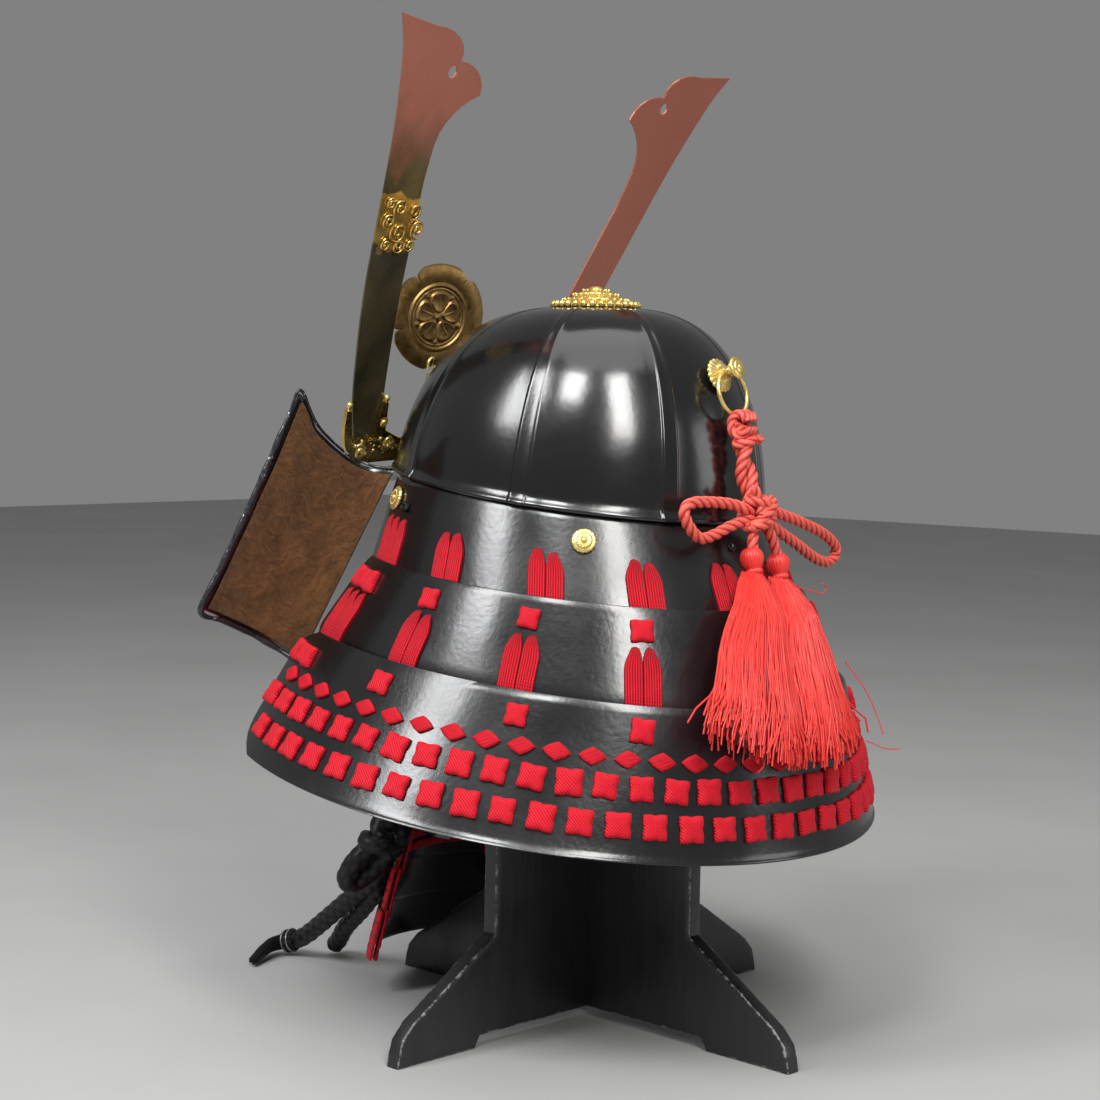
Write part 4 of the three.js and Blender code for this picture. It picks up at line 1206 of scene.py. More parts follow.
@dataclass
class Lacing:
    """The red laces: ribbed bands in pairs, square lumps, diamonds and the rows along the lowest plate."""

    finishes: Finishes
    scatter: Scatter
    columns: tuple[tuple[float, ...], ...] = ((10.5, 35.5, 61, 89), (12.75, 38.25, 63.75, 89.25),
                                              (12.75, 38.25, 61.4, 89.25))
    end: float = 114.75
    row_step: float = 6.2
    band: float = 10.6
    gap: float = 0.4

    def outline(self, s: float, point: float) -> float:
        """Half the band's width at a distance from its tip, as a share of its full half width."""
        if s < 0:
            return 0.0
        if s < 1.8:
            return 0.50 * math.sqrt(max(0.0, 1 - (1 - s / 1.8) ** 2))
        return 0.50 + 0.50 * math.sin(min(1.0, (s - 1.8) / point) * math.pi / 2)

    def band_shape(self, plate: PlateForm, angle: float, offset: float, top: float, bottom: float,
                   lean: float) -> Shape:
        """One ribbed band that lies on a plate.

        Args:
            plate: The plate it lies on.
            angle: The column's angle.
            offset: How far the band's middle lies to the side, in millimetres.
            top: Where the tip is, as a share down the plate.
            bottom: Where the band disappears behind the next plate.
            lean: How far the tip leans sideways, in millimetres.

        Returns:
            The closed band.
        """
        long = (plate.at(angle, bottom) - plate.at(angle, top)).length
        rows, count = [], 9
        for s in [0.0, 0.2, 0.6, 1.1, 1.8, 3.0, 4.5, 6.2, 8, 10, 12.5, 15.5, 20, 26, 33, long]:
            if s > long:
                continue
            down = mix(top, bottom, s / long)
            half = self.band / 2 * max(0.03, self.outline(s, 11.0))
            middle = offset + lean * (1 - smooth(0, 14, s))
            lift = 0.25 + 2.0 * smooth(0, 3.2, s)
            face, back = [], []
            for k in range(count):
                share = 2 * k / (count - 1) - 1
                turn = angle + (middle + half * share) / plate.step(angle, down)
                dome = lift * (1 - 0.35 * abs(share) ** 3)
                face.append(plate.proud(turn, down, 0.2 + dome))
                back.append(plate.proud(turn, down, 0.15))
            rows.append(face + back[::-1])
        width, made = len(rows[0]), grid(rows, close_columns=True, scale=(long / 10, 1.0))
        made.pattern = [(made.pattern[i][0], (i % width) / (count - 1) if i % width < count else
                         (width - 1 - i % width) / (count - 1)) for i in range(len(made.points))]
        last = (len(rows) - 1) * width
        made.faces += [tuple(range(width))[::-1], tuple(range(last, last + width))]
        return made

    def tile(self, half: float, corner: float, height: float, hollow: float, rings: int = 4) -> Shape:
        """A square lump with hollow sides and rounded corners, with its pattern running slantwise."""
        around, rows, pattern = 28, [], []

        def reach(turn: float) -> float:
            """How far the outline lies from the middle at an angle."""
            square = 1 / max(abs(math.cos(turn)), abs(math.sin(turn)))
            wave = abs(math.sin(2 * turn))
            return half * (mix(square, 1.0, corner) - hollow * (1 - wave) ** 1.2)

        for share, up in [(0.97, 0.0), (1.0, 0.35), (0.93, 0.72), (0.72, 0.93), (0.4, 1.0)][:rings + 1]:
            ring = []
            for i in range(around):
                turn = 2 * math.pi * (i + 0.5) / around
                r = reach(turn) * share
                x, y = r * math.cos(turn), r * math.sin(turn)
                over = 0.16 * height * smooth(0.75, 0.45, abs(x - y) / half) * smooth(0.3, 0.72, up)
                ring.append(Vector((x, y, height * up + over)))
                pattern.append((r * math.cos(turn) / (2 * half) + 0.5, r * math.sin(turn) / (2 * half) + 0.5))
            rows.append(ring)
        made = grid(rows, close_columns=True)
        made.pattern = pattern
        made.points.append(Vector((0, 0, height)))
        made.pattern.append((0.5, 0.5))
        last, centre = (len(rows) - 1) * around, len(made.points) - 1
        made.faces += [(last + i, last + (i + 1) % around, centre) for i in range(around)]
        made.faces.append(tuple(range(around))[::-1])
        return made

    def spots(self, plate: PlateForm, angles: Iterable[float], down: float, size: tuple[float, float, float],
              seed: int, loose: float = 5.0, out: float = 0.15) -> list[Spot]:
        """Spots on a plate at a row of angles, each turned a little."""
        rng = random.Random(seed)
        made = []
        for angle in angles:
            along, fall, away = plate.frame(angle, down)
            turn = math.radians(rng.uniform(-loose, loose))
            x = along * math.cos(turn) + fall * math.sin(turn)
            shape = tuple(v * rng.uniform(0.95, 1.05) for v in size)
            made.append(Spot(plate.proud(angle + rng.uniform(-0.12, 0.12), down + rng.uniform(-0.004, 0.004),
                                         out),
                             x, away, shape))
        return made

    def bands(self) -> None:
        """The bands on the two upper plates, a pair in each column and three at each front end."""
        for number in (0, 1):
            plate, below = PLATES[number], PLATES[number + 1]
            made, used = Shape(), []
            rng = random.Random(40 + number)
            for side, (column, angle) in ((s, c) for s in Side for c in enumerate(self.columns[number])):
                angle *= side.value
                bottom = self.bottom(plate, below, angle)
                for half in (-1, 1):
                    top = 0.335 + rng.uniform(-0.012, 0.012)
                    lean = -half * 1.1 + rng.uniform(-0.7, 0.7)
                    made.add(self.band_shape(plate, angle, half * (self.band + self.gap) / 2, top, bottom,
                                             lean))
                used.append(f"lace_pair_{number + 1}_{side.word}_{column + 1}")
            for side in Side:
                angle = side.value * self.end
                bottom = self.bottom(plate, below, angle)
                for k in (-1, 0, 1):
                    made.add(self.band_shape(plate, angle, k * (self.band * 0.92), 0.34, bottom, 0.0))
                used.append(f"lace_end_{number + 1}_{side.word}")
            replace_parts(piece(f"lace_bands_{number + 1}", made, self.finishes.lace, 60), *used)

    def bottom(self, plate: PlateForm, below: PlateForm, angle: float) -> float:
        """How far down a band runs to reach just behind the next plate."""
        height = below.at(angle, 0).z - 7
        return (plate.at(angle, 0).z - height) / (plate.at(angle, 0).z - plate.at(angle, 1).z)

    def lumps(self) -> None:
        """The square lumps over each column, the diamonds and the two rows along the lowest plate."""
        square = self.tile(7.5, 0.30, 3.0, 0.16)
        spots = []
        for number, down in ((1, 0.2), (2, 0.165)):
            angles = [side.value * angle for side in Side for angle in self.columns[number]]
            spots += self.spots(PLATES[number], angles, down, (0.95, 0.93, 1), 3 + number)
        for side in Side:
            angle = side.value * self.end
            for plate, down in ((PLATES[1], 0.22), (PLATES[2], 0.185)):
                for k, wide, turn in ((-1, 0.5, 24.0), (-0.1, 0.85, 12.0), (0.95, 0.62, 24.0)):
                    spots += self.spots(plate, [angle + k * 10.4 / plate.step(angle, down)], down,
                                        (wide, 0.98, 1.15), 9 + int(4 * k), turn)
        self.scatter.over("lace_squares", square, spots, self.finishes.knot)
        rng = random.Random(12)
        diamonds = []
        for j in range(-20, 20):
            angle = (j + 0.5) * self.row_step
            if abs(angle) > 118:
                continue
            along, fall, away = PLATES[2].frame(angle, 0.352)
            slant = math.radians(45 + rng.uniform(-4, 4))
            x = along * math.cos(slant) + fall * math.sin(slant)
            diamonds.append(Spot(PLATES[2].proud(angle, 0.352, 0.15), x, away, (1, 1, 1)))
        self.diamonds(diamonds)
        for name, shift, down, seed in (("upper", 0.0, 0.535, 21), ("lower", 0.5, 0.775, 22)):
            angles = [a for a in ((j + shift) * self.row_step for j in range(-19, 20)) if abs(a) < 118.5]
            spots = self.spots(PLATES[2], angles, down, (1.04, 1.04, 1.1), seed, 6)
            self.scatter.over(f"lace_row_{name}", square, spots, self.finishes.knot)

    def diamonds(self, spots: Sequence[Spot]) -> None:
        """The row of diamonds, wider along the plate than down it."""
        made = self.tile(5.3, 0.34, 2.6, -0.02)
        turn = Matrix.Rotation(math.radians(45), 4, "Z")
        flat = made.turned(Matrix.Diagonal((1.22, 0.80, 1.0, 1.0)) @ turn)
        straight = [Spot(s.place, unit(s.along - self.fall(s)), s.out, s.size) for s in spots]
        self.scatter.over("lace_diamonds", flat, straight, self.finishes.knot)

    def fall(self, spot: Spot) -> Vector:
        """The direction down the plate that a slanted spot was turned towards."""
        return spot.out.cross(spot.along)

    def build(self) -> None:
        """Make every band and lump."""
        self.bands()
        self.lumps()


@dataclass
class Bosses:
    """The gilt bosses, the screw behind and the small black ties on the top plate."""

    finishes: Finishes

    def boss(self) -> Shape:
        """A flat gilt disc with fine petals round a button."""
        def petals(turn: float, height: float) -> float:
            """How far the petals stand out round the disc."""
            return 0.28 * abs(math.cos(8 * turn)) ** 0.6 if 0.3 < height < 2.6 else 0.0

        profile = [(6.6, -0.2), (7.1, 0.3), (7.3, 1.0), (7.0, 1.8), (6.2, 2.3), (5.4, 2.25), (4.9, 2.6),
                   (3.6, 3.1), (2.5, 3.0), (2.3, 2.6), (2.0, 2.6), (1.8, 3.3), (1.1, 3.9), (0.3, 4.0)]
        made = lathe(profile, 96, petals)
        for i in range(16):
            t = 2 * math.pi * i / 16
            groove = ball(0.62, 8).turned(moved(4.3 * math.cos(t), 4.3 * math.sin(t), 2.75))
            made.add(groove)
        return made

    def build(self) -> None:
        """Set the bosses and the ties on the plate."""
        plate = PLATES[0]
        for name, angle in (("boss_side", 50.8), ("boss_front", 119.5)):
            down = 0.22 if name == "boss_side" else 0.2
            along, _, out = plate.frame(angle, down)
            turn = Matrix((along, out.cross(along), out)).transposed().to_4x4()
            made = self.boss().turned(Matrix.Translation(plate.proud(angle, down, 0.35)) @ turn)
            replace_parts(piece(f"{name}_left_disc", made, self.finishes.pale_gilt, 50), f"{name}_left")
            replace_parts(piece(f"{name}_right_disc", made.mirrored(), self.finishes.pale_gilt, 50),
                        f"{name}_right")
        along, _, out = plate.frame(4, 0.2)
        turn = Matrix((along, out.cross(along), out)).transposed().to_4x4()
        head = lathe([(2.2, 0), (2.7, 0.3), (2.6, 0.9), (1.7, 1.35), (0.9, 1.1), (0.3, 0.9)], 24)
        head = head.turned(Matrix.Translation(plate.proud(4, 0.2, 0.3)) @ turn)
        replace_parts(piece("rear_screw_head", head, self.finishes.lacquer), "rear_screw")
        self.ties()

    def ties(self) -> None:
        """A small knot of black cord beside each front boss."""
        plate = PLATES[0]
        made = Shape()
        rng = random.Random(4)
        for start, bend in ((0.0, 0.0), (1.1, 0.5), (2.2, -0.4), (3.4, 0.2)):
            line = []
            for i in range(15):
                t = start + 2 * math.pi * i / 14
                x, y = 2.6 * math.cos(t) + 1.4 * bend, 1.9 * math.sin(t + bend) + rng.uniform(-0.2, 0.2)
                angle = 111.5 + x / plate.step(111.5, 0.24)
                line.append(plate.proud(angle, 0.24 + y / 70, 1.5 + 0.9 * math.sin(2 * t + start)))
            made.add(tube(line, 0.85, 8))
        both = Shape().add(made).add(made.mirrored())
        piece("black_ties", both, self.finishes.braid)


# ---------------------------------------------------------------- turnbacks


@dataclass
class Turnback:
    """The two turned-back wings: a lacquered plate, suede on its rear, a rolled rim and a red lace edge."""

    finishes: Finishes
    top: Point = (86, -95, 346)
    bottom: Point = (133, -128, 227)
    reach: Point = (66, -15, 35)
    hollow: float = 13.0
    dip: float = 10.0
    tip: float = 12.0
    thick: float = 1.8
    rim: float = 1.8

    def at(self, across: float, down: float) -> Vector:
        """A point of the wing, across from its root to its outer edge and down from its top edge."""
        place = Vector(self.top).lerp(Vector(self.bottom), down) + Vector(self.reach) * across
        place += Vector((-0.75, -0.66, 0)) * self.hollow * math.sin(math.pi * across)
        edge = -self.dip * math.sin(math.pi * min(across / 0.94, 1))
        place.z += (edge + self.tip * smooth(0.82, 1, across)) * (1 - down) ** 2
        return place

    def normal(self, across: float, down: float) -> Vector:
        """The direction out of the suede side."""
        du = self.at(across + 1e-3, down) - self.at(across - 1e-3, down)
        return unit(du.cross(self.at(across, down + 1e-3) - self.at(across, down - 1e-3)))

    def wrinkle(self, across: float, down: float) -> float:
        """How far the suede stands up in its creases."""
        a, d = across * 66, down * 125
        wave = (math.sin(a * 0.16 + 1.3 * math.sin(d * 0.09) + d * 0.03)
                * math.sin(d * 0.12 + 1.1 * math.sin(a * 0.11)))
        warp = 2.4 * math.sin(d * 0.17 + 1.7 * math.sin(a * 0.12)) + 1.1 * math.sin(d * 0.43 + a * 0.21)
        long = (1 - abs(math.sin(0.30 * (a + warp) + 0.06 * d))) ** 4
        short = (1 - abs(math.sin(0.36 * (d + 2.6 * math.sin(a * 0.23 + 0.6 * math.sin(d * 0.11))) - 0.16
                                  * a))) ** 4
        where = (0.5 + 0.5 * math.sin(a * 0.13 + 1.2 * math.sin(d * 0.05))
                 * math.sin(d * 0.083 + 0.4 + 0.07 * a))
        fine = (math.sin(a * 0.95 + 2.6 * math.sin(d * 0.33))
                * math.sin(d * 0.62 + 2.1 * math.sin(a * 0.4 + 1.0)))
        fade = (smooth(0, 0.05, down) * smooth(0, 0.05, 1 - down) * smooth(0, 0.05, across)
                * smooth(0, 0.06, 1 - across))
        return fade * (0.34 * wave + 0.85 * long * where + 0.55 * short * (1 - where) ** 2 + 0.14 * fine)

    def lining(self) -> Shape:
        """The suede over the rear side, wrinkled and glued down along its edges."""
        def face(across: float, down: float) -> Vector:
            """A point of the face that shows."""
            lift = 1.5 + max(-0.5, self.wrinkle(across, down))
            return self.at(across, down) + self.normal(across, down) * lift

        us, vs = spread(0.008, 0.975, 90), spread(0.02, 0.985, 150)
        made = wall(face, us, vs, 1.0, 3)
        width = len(made.points) // len(us)
        # the raised creases, which the suede colours paler
        for across in us:
            for j in range(width):
                down = vs[j] if j < len(vs) else 0.0
                made.marks.append(smooth(-0.3, 0.8, self.wrinkle(across, down)) if j < len(vs) else 0.0)
        return made

    def rim_line(self) -> list[Vector]:
        """The line of the rolled rim along the top, outer and bottom edges."""
        route: list[Vector] = []

        def push(u: float, v: float, du: float, dv: float, further: float = 1.0) -> None:
            """Add a point beside the edge."""
            edge = self.at(u, v)
            out = unit(edge - self.at(u - du * 0.02, v - dv * 0.02))
            route.append(edge + out * 1.9 * further - self.normal(min(u, 0.98), v) * 0.4)

        for u in (0.04, 0.25, 0.5, 0.72, 0.86):
            push(u, 0, 0, -1)
        push(1, 0, 0.6, -1, 1.5)
        for v in (0.1, 0.3, 0.55, 0.8):
            push(1, v, 1, 0)
        push(1, 1, 1, 1)
        for u in (0.8, 0.5, 0.25, 0.04):
            push(u, 1, 0, 1)
        return route

    def lace_edge(self) -> Shape:
        """Red laces folded over the front face beside the outer edge."""
        made = Shape()
        for v in (0.12, 0.3, 0.48, 0.66, 0.84):
            rows = []
            for k in range(13):
                turn = math.pi * k / 12
                across = 0.93 - 0.055 * (1 - math.cos(turn))
                lift = -self.thick - 0.4 - 2.6 * math.sin(turn)
                row = []
                for j in range(7):
                    down = v + 0.062 * (2 * j / 6 - 1)
                    dome = 0.7 * (1 - (2 * j / 6 - 1) ** 2)
                    row.append(self.at(across, down) + self.normal(across, down) * (lift - dome))
                back = [self.at(across, v + 0.062 * (2 * j / 6 - 1)) - self.normal(across, v)
                        * (self.thick + 0.3)
                        for j in range(7)]
                rows.append(row + back[::-1])
            made.add(capped(rows, (2.0, 2.0)))
        return made

    def build(self) -> None:
        """Make both wings."""
        shell = wall(self.at, spread(0, 1, 60), spread(0, 1, 40), self.thick, 3)
        lining = self.lining()
        line = along_line(self.rim_line(), 260)
        rough = random.Random(8)
        widths = [mix(0.95, self.rim, smooth(84, 100, i))
                  * (1 + 0.16 * math.sin(i * 0.33) * math.sin(i * 0.071)
                                                             + rough.uniform(-0.05, 0.05))
                  for i in range(len(line))]
        rim = tube(line, widths, 14)
        lace = self.lace_edge()
        for side in Side:
            def sided(s: Shape, left: bool = side is Side.LEFT) -> Shape:
                """The shape, mirrored for the other side."""
                return s if left else s.mirrored()

            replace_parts(piece(f"turnback_{side.word}_wing", sided(shell), self.finishes.lacquer),
                        f"turnback_{side.word}")
            suede = piece(f"turnback_{side.word}_suede", sided(lining), self.finishes.suede, 60)
            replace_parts(suede, f"turnback_lining_{side.word}")
            f"turnback_{side.word}_wing"
            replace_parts(piece(f"turnback_{side.word}_rim", sided(rim), self.finishes.rim),
                        f"turnback_rim_{side.word}")
            piece(f"turnback_{side.word}_lace", sided(lace), self.finishes.lace, 60)


# ---------------------------------------------------------------- horns, base and crest


@dataclass
class Crest:
    """The gilt base with its scrolls, the stem, and the five-lobed disc with a plain rosette."""

    finishes: Finishes
    scatter: Scatter
    centre: Point = (0, -142, 446)
    radius: float = 36.0
    ring: float = 23.5
    petals: int = 5
    lean: float = 10.0
    turn: float = -13.0
    slope: float = 0.4958
    foot: float = 324.5

    def relief(self, x: float, y: float) -> float:
        """The height of the disc's relief at a place, in millimetres."""
        r = math.hypot(x, y)
        t = math.atan2(y, x) - math.pi / 2
        near = ((t * self.petals / (2 * math.pi) + 0.5) % 1 - 0.5) * 2 * math.pi / self.petals
        ring = 1.25 * math.exp(-((r - 21.6) / 1.15) ** 4)
        inner_line = 0.55 * math.exp(-((r - 19.0) / 0.6) ** 2)
        u, w = r * math.cos(near), r * math.sin(near)
        petal = max(0.0, 1 - ((u - 10.2) / 7.4) ** 2 - (w / (3.1 + 0.42 * u)) ** 2)
        bowl = 1.5 * min(1.0, petal * 3.2) - 0.9 * petal
        vein = 0.18 * math.exp(-(w / 0.55) ** 2) * smooth(3, 5, u) * smooth(0, 3, 15 - u)
        button = 1.3 * math.exp(-(r / 2.4) ** 2)
        between = ((t * self.petals / (2 * math.pi)) % 1 - 0.5) * 2 * math.pi / self.petals
        bud = 0.9 * math.exp(-(((r * math.cos(between) - 16.8) / 1.7) ** 2
                               + (r * math.sin(between) / 1.5) ** 2))
        if r > self.ring:
            return 0.8 * math.sin(min(1.0, (r - self.ring) / 11.5) * math.pi)
        return ring + inner_line + bowl + vein * (petal > 0) + button + bud

    def disc(self) -> Shape:
        """The disc, with its relief raised on both sides."""
        around, rows_front, rows_back = 300, [], []
        shares = sorted(set(spread(0.02, 0.66, 58)) | set(spread(0.66, 1.0, 16)))
        for share in shares:
            front, back = [], []
            for i in range(around):
                t = 2 * math.pi * i / around + math.pi / 2
                lobe = abs(math.sin(self.petals * (t - math.pi / 2) / 2 + math.pi / 2))
                edge = self.radius * (0.905 + 0.095 * min(1.0, lobe * 1.9) ** 0.8)
                slit = math.exp(-(lobe / 0.045) ** 2) * 5.5
                inner, past = 0.66 * self.radius, (share - 0.66) / 0.34
                r = share * self.radius if share < 0.66 else mix(inner, edge - slit, past)
                x, y = r * math.cos(t), r * math.sin(t)
                z = self.relief(x, y)
                front.append(Vector((x, y, 0.7 + z)))
                back.append(Vector((x, y, -0.7 - z * 0.9)))
            rows_front.append(front)
            rows_back.append(back)
        return capped(rows_back + rows_front[::-1])

    def build(self) -> None:
        """Make the disc, its stem clip and the base's ornament."""
        turn = (Matrix.Rotation(math.radians(self.turn), 4, "Z")
                @ Matrix.Rotation(math.radians(90 - self.lean), 4, "X"))
        made = self.disc().turned(moved(*self.centre) @ turn)
        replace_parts(piece("crest_rosette", made, self.finishes.old_gilt, 60), "crest_disc")
        dress("horn_base", self.finishes.gilt)
        self.scrolls()
        self.band()

    def plane(self, x: float, height: float, out: float) -> Vector:
        """A place over the rear side of the horns' leaning plane."""
        long = math.hypot(1, self.slope)
        return Vector((x, self.slope * height - self.foot + out / long, height - out * self.slope / long))

    def scrolls(self) -> None:
        """Scrolls and granules worked over the base, on both sides of the middle."""
        made, spots = Shape(), []
        for sign in (1, -1):
            for cx, cz, size, way, turns in ((30, 360.5, 5.2, 1, 1.6), (46, 363.5, 5.6, -1, 1.7),
                                             (68, 357.5, 5.0, 1, 1.5), (14, 363.5, 4.6, -1, 1.5),
                                             (56, 377, 3.4, 1, 1.3)):
                line = []
                for i in range(40):
                    s = i / 39
                    t = way * (2 * math.pi * turns * s) + 0.4
                    r = size * (1 - 0.82 * s)
                    line.append(self.plane(sign * (cx + r * math.cos(t)), cz + r * math.sin(t),
                                           2.2 + 1.4 * s))
                made.add(tube(line, [mix(1.1, 1.5, i / 39) for i in range(40)], 8))
            rng = random.Random(31)
            for i in range(64):
                x, z = rng.uniform(6, 80), 0.0
                z = rng.uniform(354, 369 if x < 60 else 364)
                place = self.plane(sign * x, z, rng.uniform(1.4, 2.8))
                spots.append(Spot(place, Vector((1, 0, 0)), Vector((0, 0.89, -0.44)),
                                  (rng.uniform(0.7, 1.35),) * 3))
            rail = [self.plane(sign * x, z, 2.0)
                    for x, z in ((4, 371), (20, 368), (36, 366.5), (52, 371), (57, 380),
                                                              (59.5, 391.5))]
            made.add(tube(along_line(rail, 60), 1.25, 10))
            outer = [self.plane(sign * x, z, 2.0) for x, z in ((66, 352), (78, 357), (85, 368), (90, 386))]
            made.add(tube(along_line(outer, 40), 1.25, 10))
            low = [self.plane(sign * x, z, 1.8) for x, z in ((2, 354.5), (20, 354), (44, 353.5), (64, 351.5))]
            made.add(tube(along_line(low, 40), 1.1, 10))
            made.add(ball(2.4, 16).turned(Matrix.Translation(self.plane(sign * 60, 392.5, 1.6))))
            made.add(ball(2.2, 16).turned(Matrix.Translation(self.plane(sign * 90.4, 387.5, 1.6))))
        clip = along_line(vectors([(-2.6, -147, 411), (-3.2, -146.5, 416), (0, -146, 419), (3.2, -146.5, 416),
                                   (2.6, -147, 411)]), 24)
        made.add(tube(clip, 1.0, 10))
        piece("base_scrolls", made, self.finishes.pale_gilt, 60)
        bead = ball(1.25, 10)
        bead.pattern = [(0.0, 0.0)] * len(bead.points)
        self.scatter.over("base_granules", bead, spots, self.finishes.pale_gilt, 0.1, 80)

    def band(self) -> None:
        """The worked gilt band round the wearer's left horn."""
        made = Shape()
        for out in (1, -1):
            face = 1.0 if out > 0 else -1.9
            for cx, cz, size, way in ((86, 497, 6.0, 1), (101, 494, 7.0, -1), (112, 500, 4.6, 1),
                                      (93, 507, 5.0, -1), (106, 508, 5.4, 1), (97, 486, 4.8, 1),
                                      (88, 487, 4.0, -1), (115, 510, 3.4, -1), (108, 486, 3.8, -1)):
                line = []
                for i in range(36):
                    s = i / 35
                    t = way * 2 * math.pi * 1.5 * s + cx
                    r = size * (1 - 0.8 * s)
                    line.append(self.plane(cx + r * math.cos(t), cz + r * math.sin(t), face))
                made.add(tube(line, [mix(0.8, 1.1, i / 35) for i in range(36)], 8))
        piece("horn_left_band", made, self.finishes.gilt, 60)


@dataclass
class Horns:
    """The two tall sheet horns, kept as they were cut."""

    finishes: Finishes

    def build(self) -> None:
        """Give each horn its metal, with its painted red and dark olive reflections."""
        dress("horn_left", self.finishes.horn_left)
        dress("horn_right", self.finishes.horn_right)


# ---------------------------------------------------------------- back fitting, red cord and tassels


@dataclass
class RearFitting:
    """The shell-fluted washer, the stud with its round head, and the ring through it."""

    finishes: Finishes
    place: Point = (0, 92.6, 409)
    axis: Point = (0, math.cos(math.radians(20)), math.sin(math.radians(20)))

    def build(self) -> None:
        """Make the stud with its washer and the ring."""
        def shell(turn: float, height: float) -> float:
            """How far the flutes stand out round the washer."""
            return 0.85 * abs(math.cos(9 * turn)) ** 0.8 - 0.2

        washer = lathe([(9.2, 0.2), (10.0, 0.8), (10.2, 1.6), (9.6, 2.3), (7.5, 3.0), (5.2, 4.1),
                        (4.2, 4.6)], 144, shell)
        stem = lathe([(3.4, 2.0), (3.5, 4.5), (3.1, 5.6), (3.1, 6.2), (3.6, 6.8), (3.6, 10.6), (3.2, 11.4),
                      (3.2, 12.2), (5.0, 13.2), (6.4, 13.9), (6.9, 14.9), (6.6, 15.9), (5.6, 16.5),
                      (4.4, 16.6), (4.2, 17.0), (3.0, 17.5), (1.6, 17.6), (1.4, 18.1), (0.4, 18.3)], 64)
        turn = facing(Vector(self.axis))
        made = washer.add(stem).turned(moved(*self.place) @ turn)
        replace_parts(piece("rear_stud_fitting", made, self.finishes.pale_gilt, 55), "rear_stud")
        drop = Vector((0, math.sin(math.radians(15)), -math.cos(math.radians(15))))
        centre = Vector(self.place) + Vector(self.axis) * 8.6 + drop * 13.4
        line = [centre + Vector((1, 0, 0)) * 13.6 * math.cos(2 * math.pi * i / 90)
                + drop * 13.6 * math.sin(2 * math.pi * i / 90) for i in range(90)]
        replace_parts(piece("rear_ring_wire", tube(line, 1.3, 14, True), self.finishes.pale_gilt), "rear_ring")


@dataclass
class Rope:
    """Three silk strands laid up into a rope."""

    diameter: float = 6.6
    pitch: float = 18.6
    strands: int = 3

    def section(self, travelled: float, turn: float) -> float:
        """The three-lobed outline, turning along the rope."""
        lobe = math.cos(self.strands / 2 * (turn - 2 * math.pi * travelled / self.pitch))
        return 0.68 + 0.38 * abs(lobe) ** 0.62

    def along(self, points: Sequence[Sequence[float]], closed: bool = False, spacing: float = 0.8,
              thick: float | None = None) -> Shape:
        """A rope through points, with fine threads in its pattern."""
        line = vectors(points)
        steps = max(12, int(length_of(line) / spacing))
        route = along_line(line, steps, closed)
        made = tube(route, (thick or self.diameter) / 2, 30, closed, self.section)
        width, travelled = 30, 0.0
        pattern, marks = [], []
        for i in range(len(route)):
            travelled += (route[i] - route[i - 1]).length if i else 0.0
            for k in range(width):
                pattern.append((travelled / 10, k / width - travelled / self.pitch))
                # how far each strand stands out, which the rope's material turns into a painted highlight on
                # crests and painted shade in grooves
                marks.append(smooth(0.70, 1.04, self.section(travelled, 2 * math.pi * k / width)))
        made.pattern = pattern + [(0.0, 0.0)] * (len(made.points) - len(pattern))
        made.marks = marks + [1.0] * (len(made.points) - len(marks))
        return made

    def wrap(self, centre: Vector, axis: Vector, wide: Vector, radii: tuple[float, float], start: float,
             end: float, rise: float = 0.0) -> list[Vector]:
        """Points of a turn round an axis, from one angle to another, rising as it goes."""
        axis = unit(axis)
        wide = unit(wide - axis * wide.dot(axis))
        other = axis.cross(wide)
        made = []
        for i in range(13):
            t = math.radians(mix(start, end, i / 12))
            made.append(centre + wide * radii[0] * math.cos(t) + other * radii[1] * math.sin(t)
                        + axis * rise * (i / 12 - 0.5))
        return made


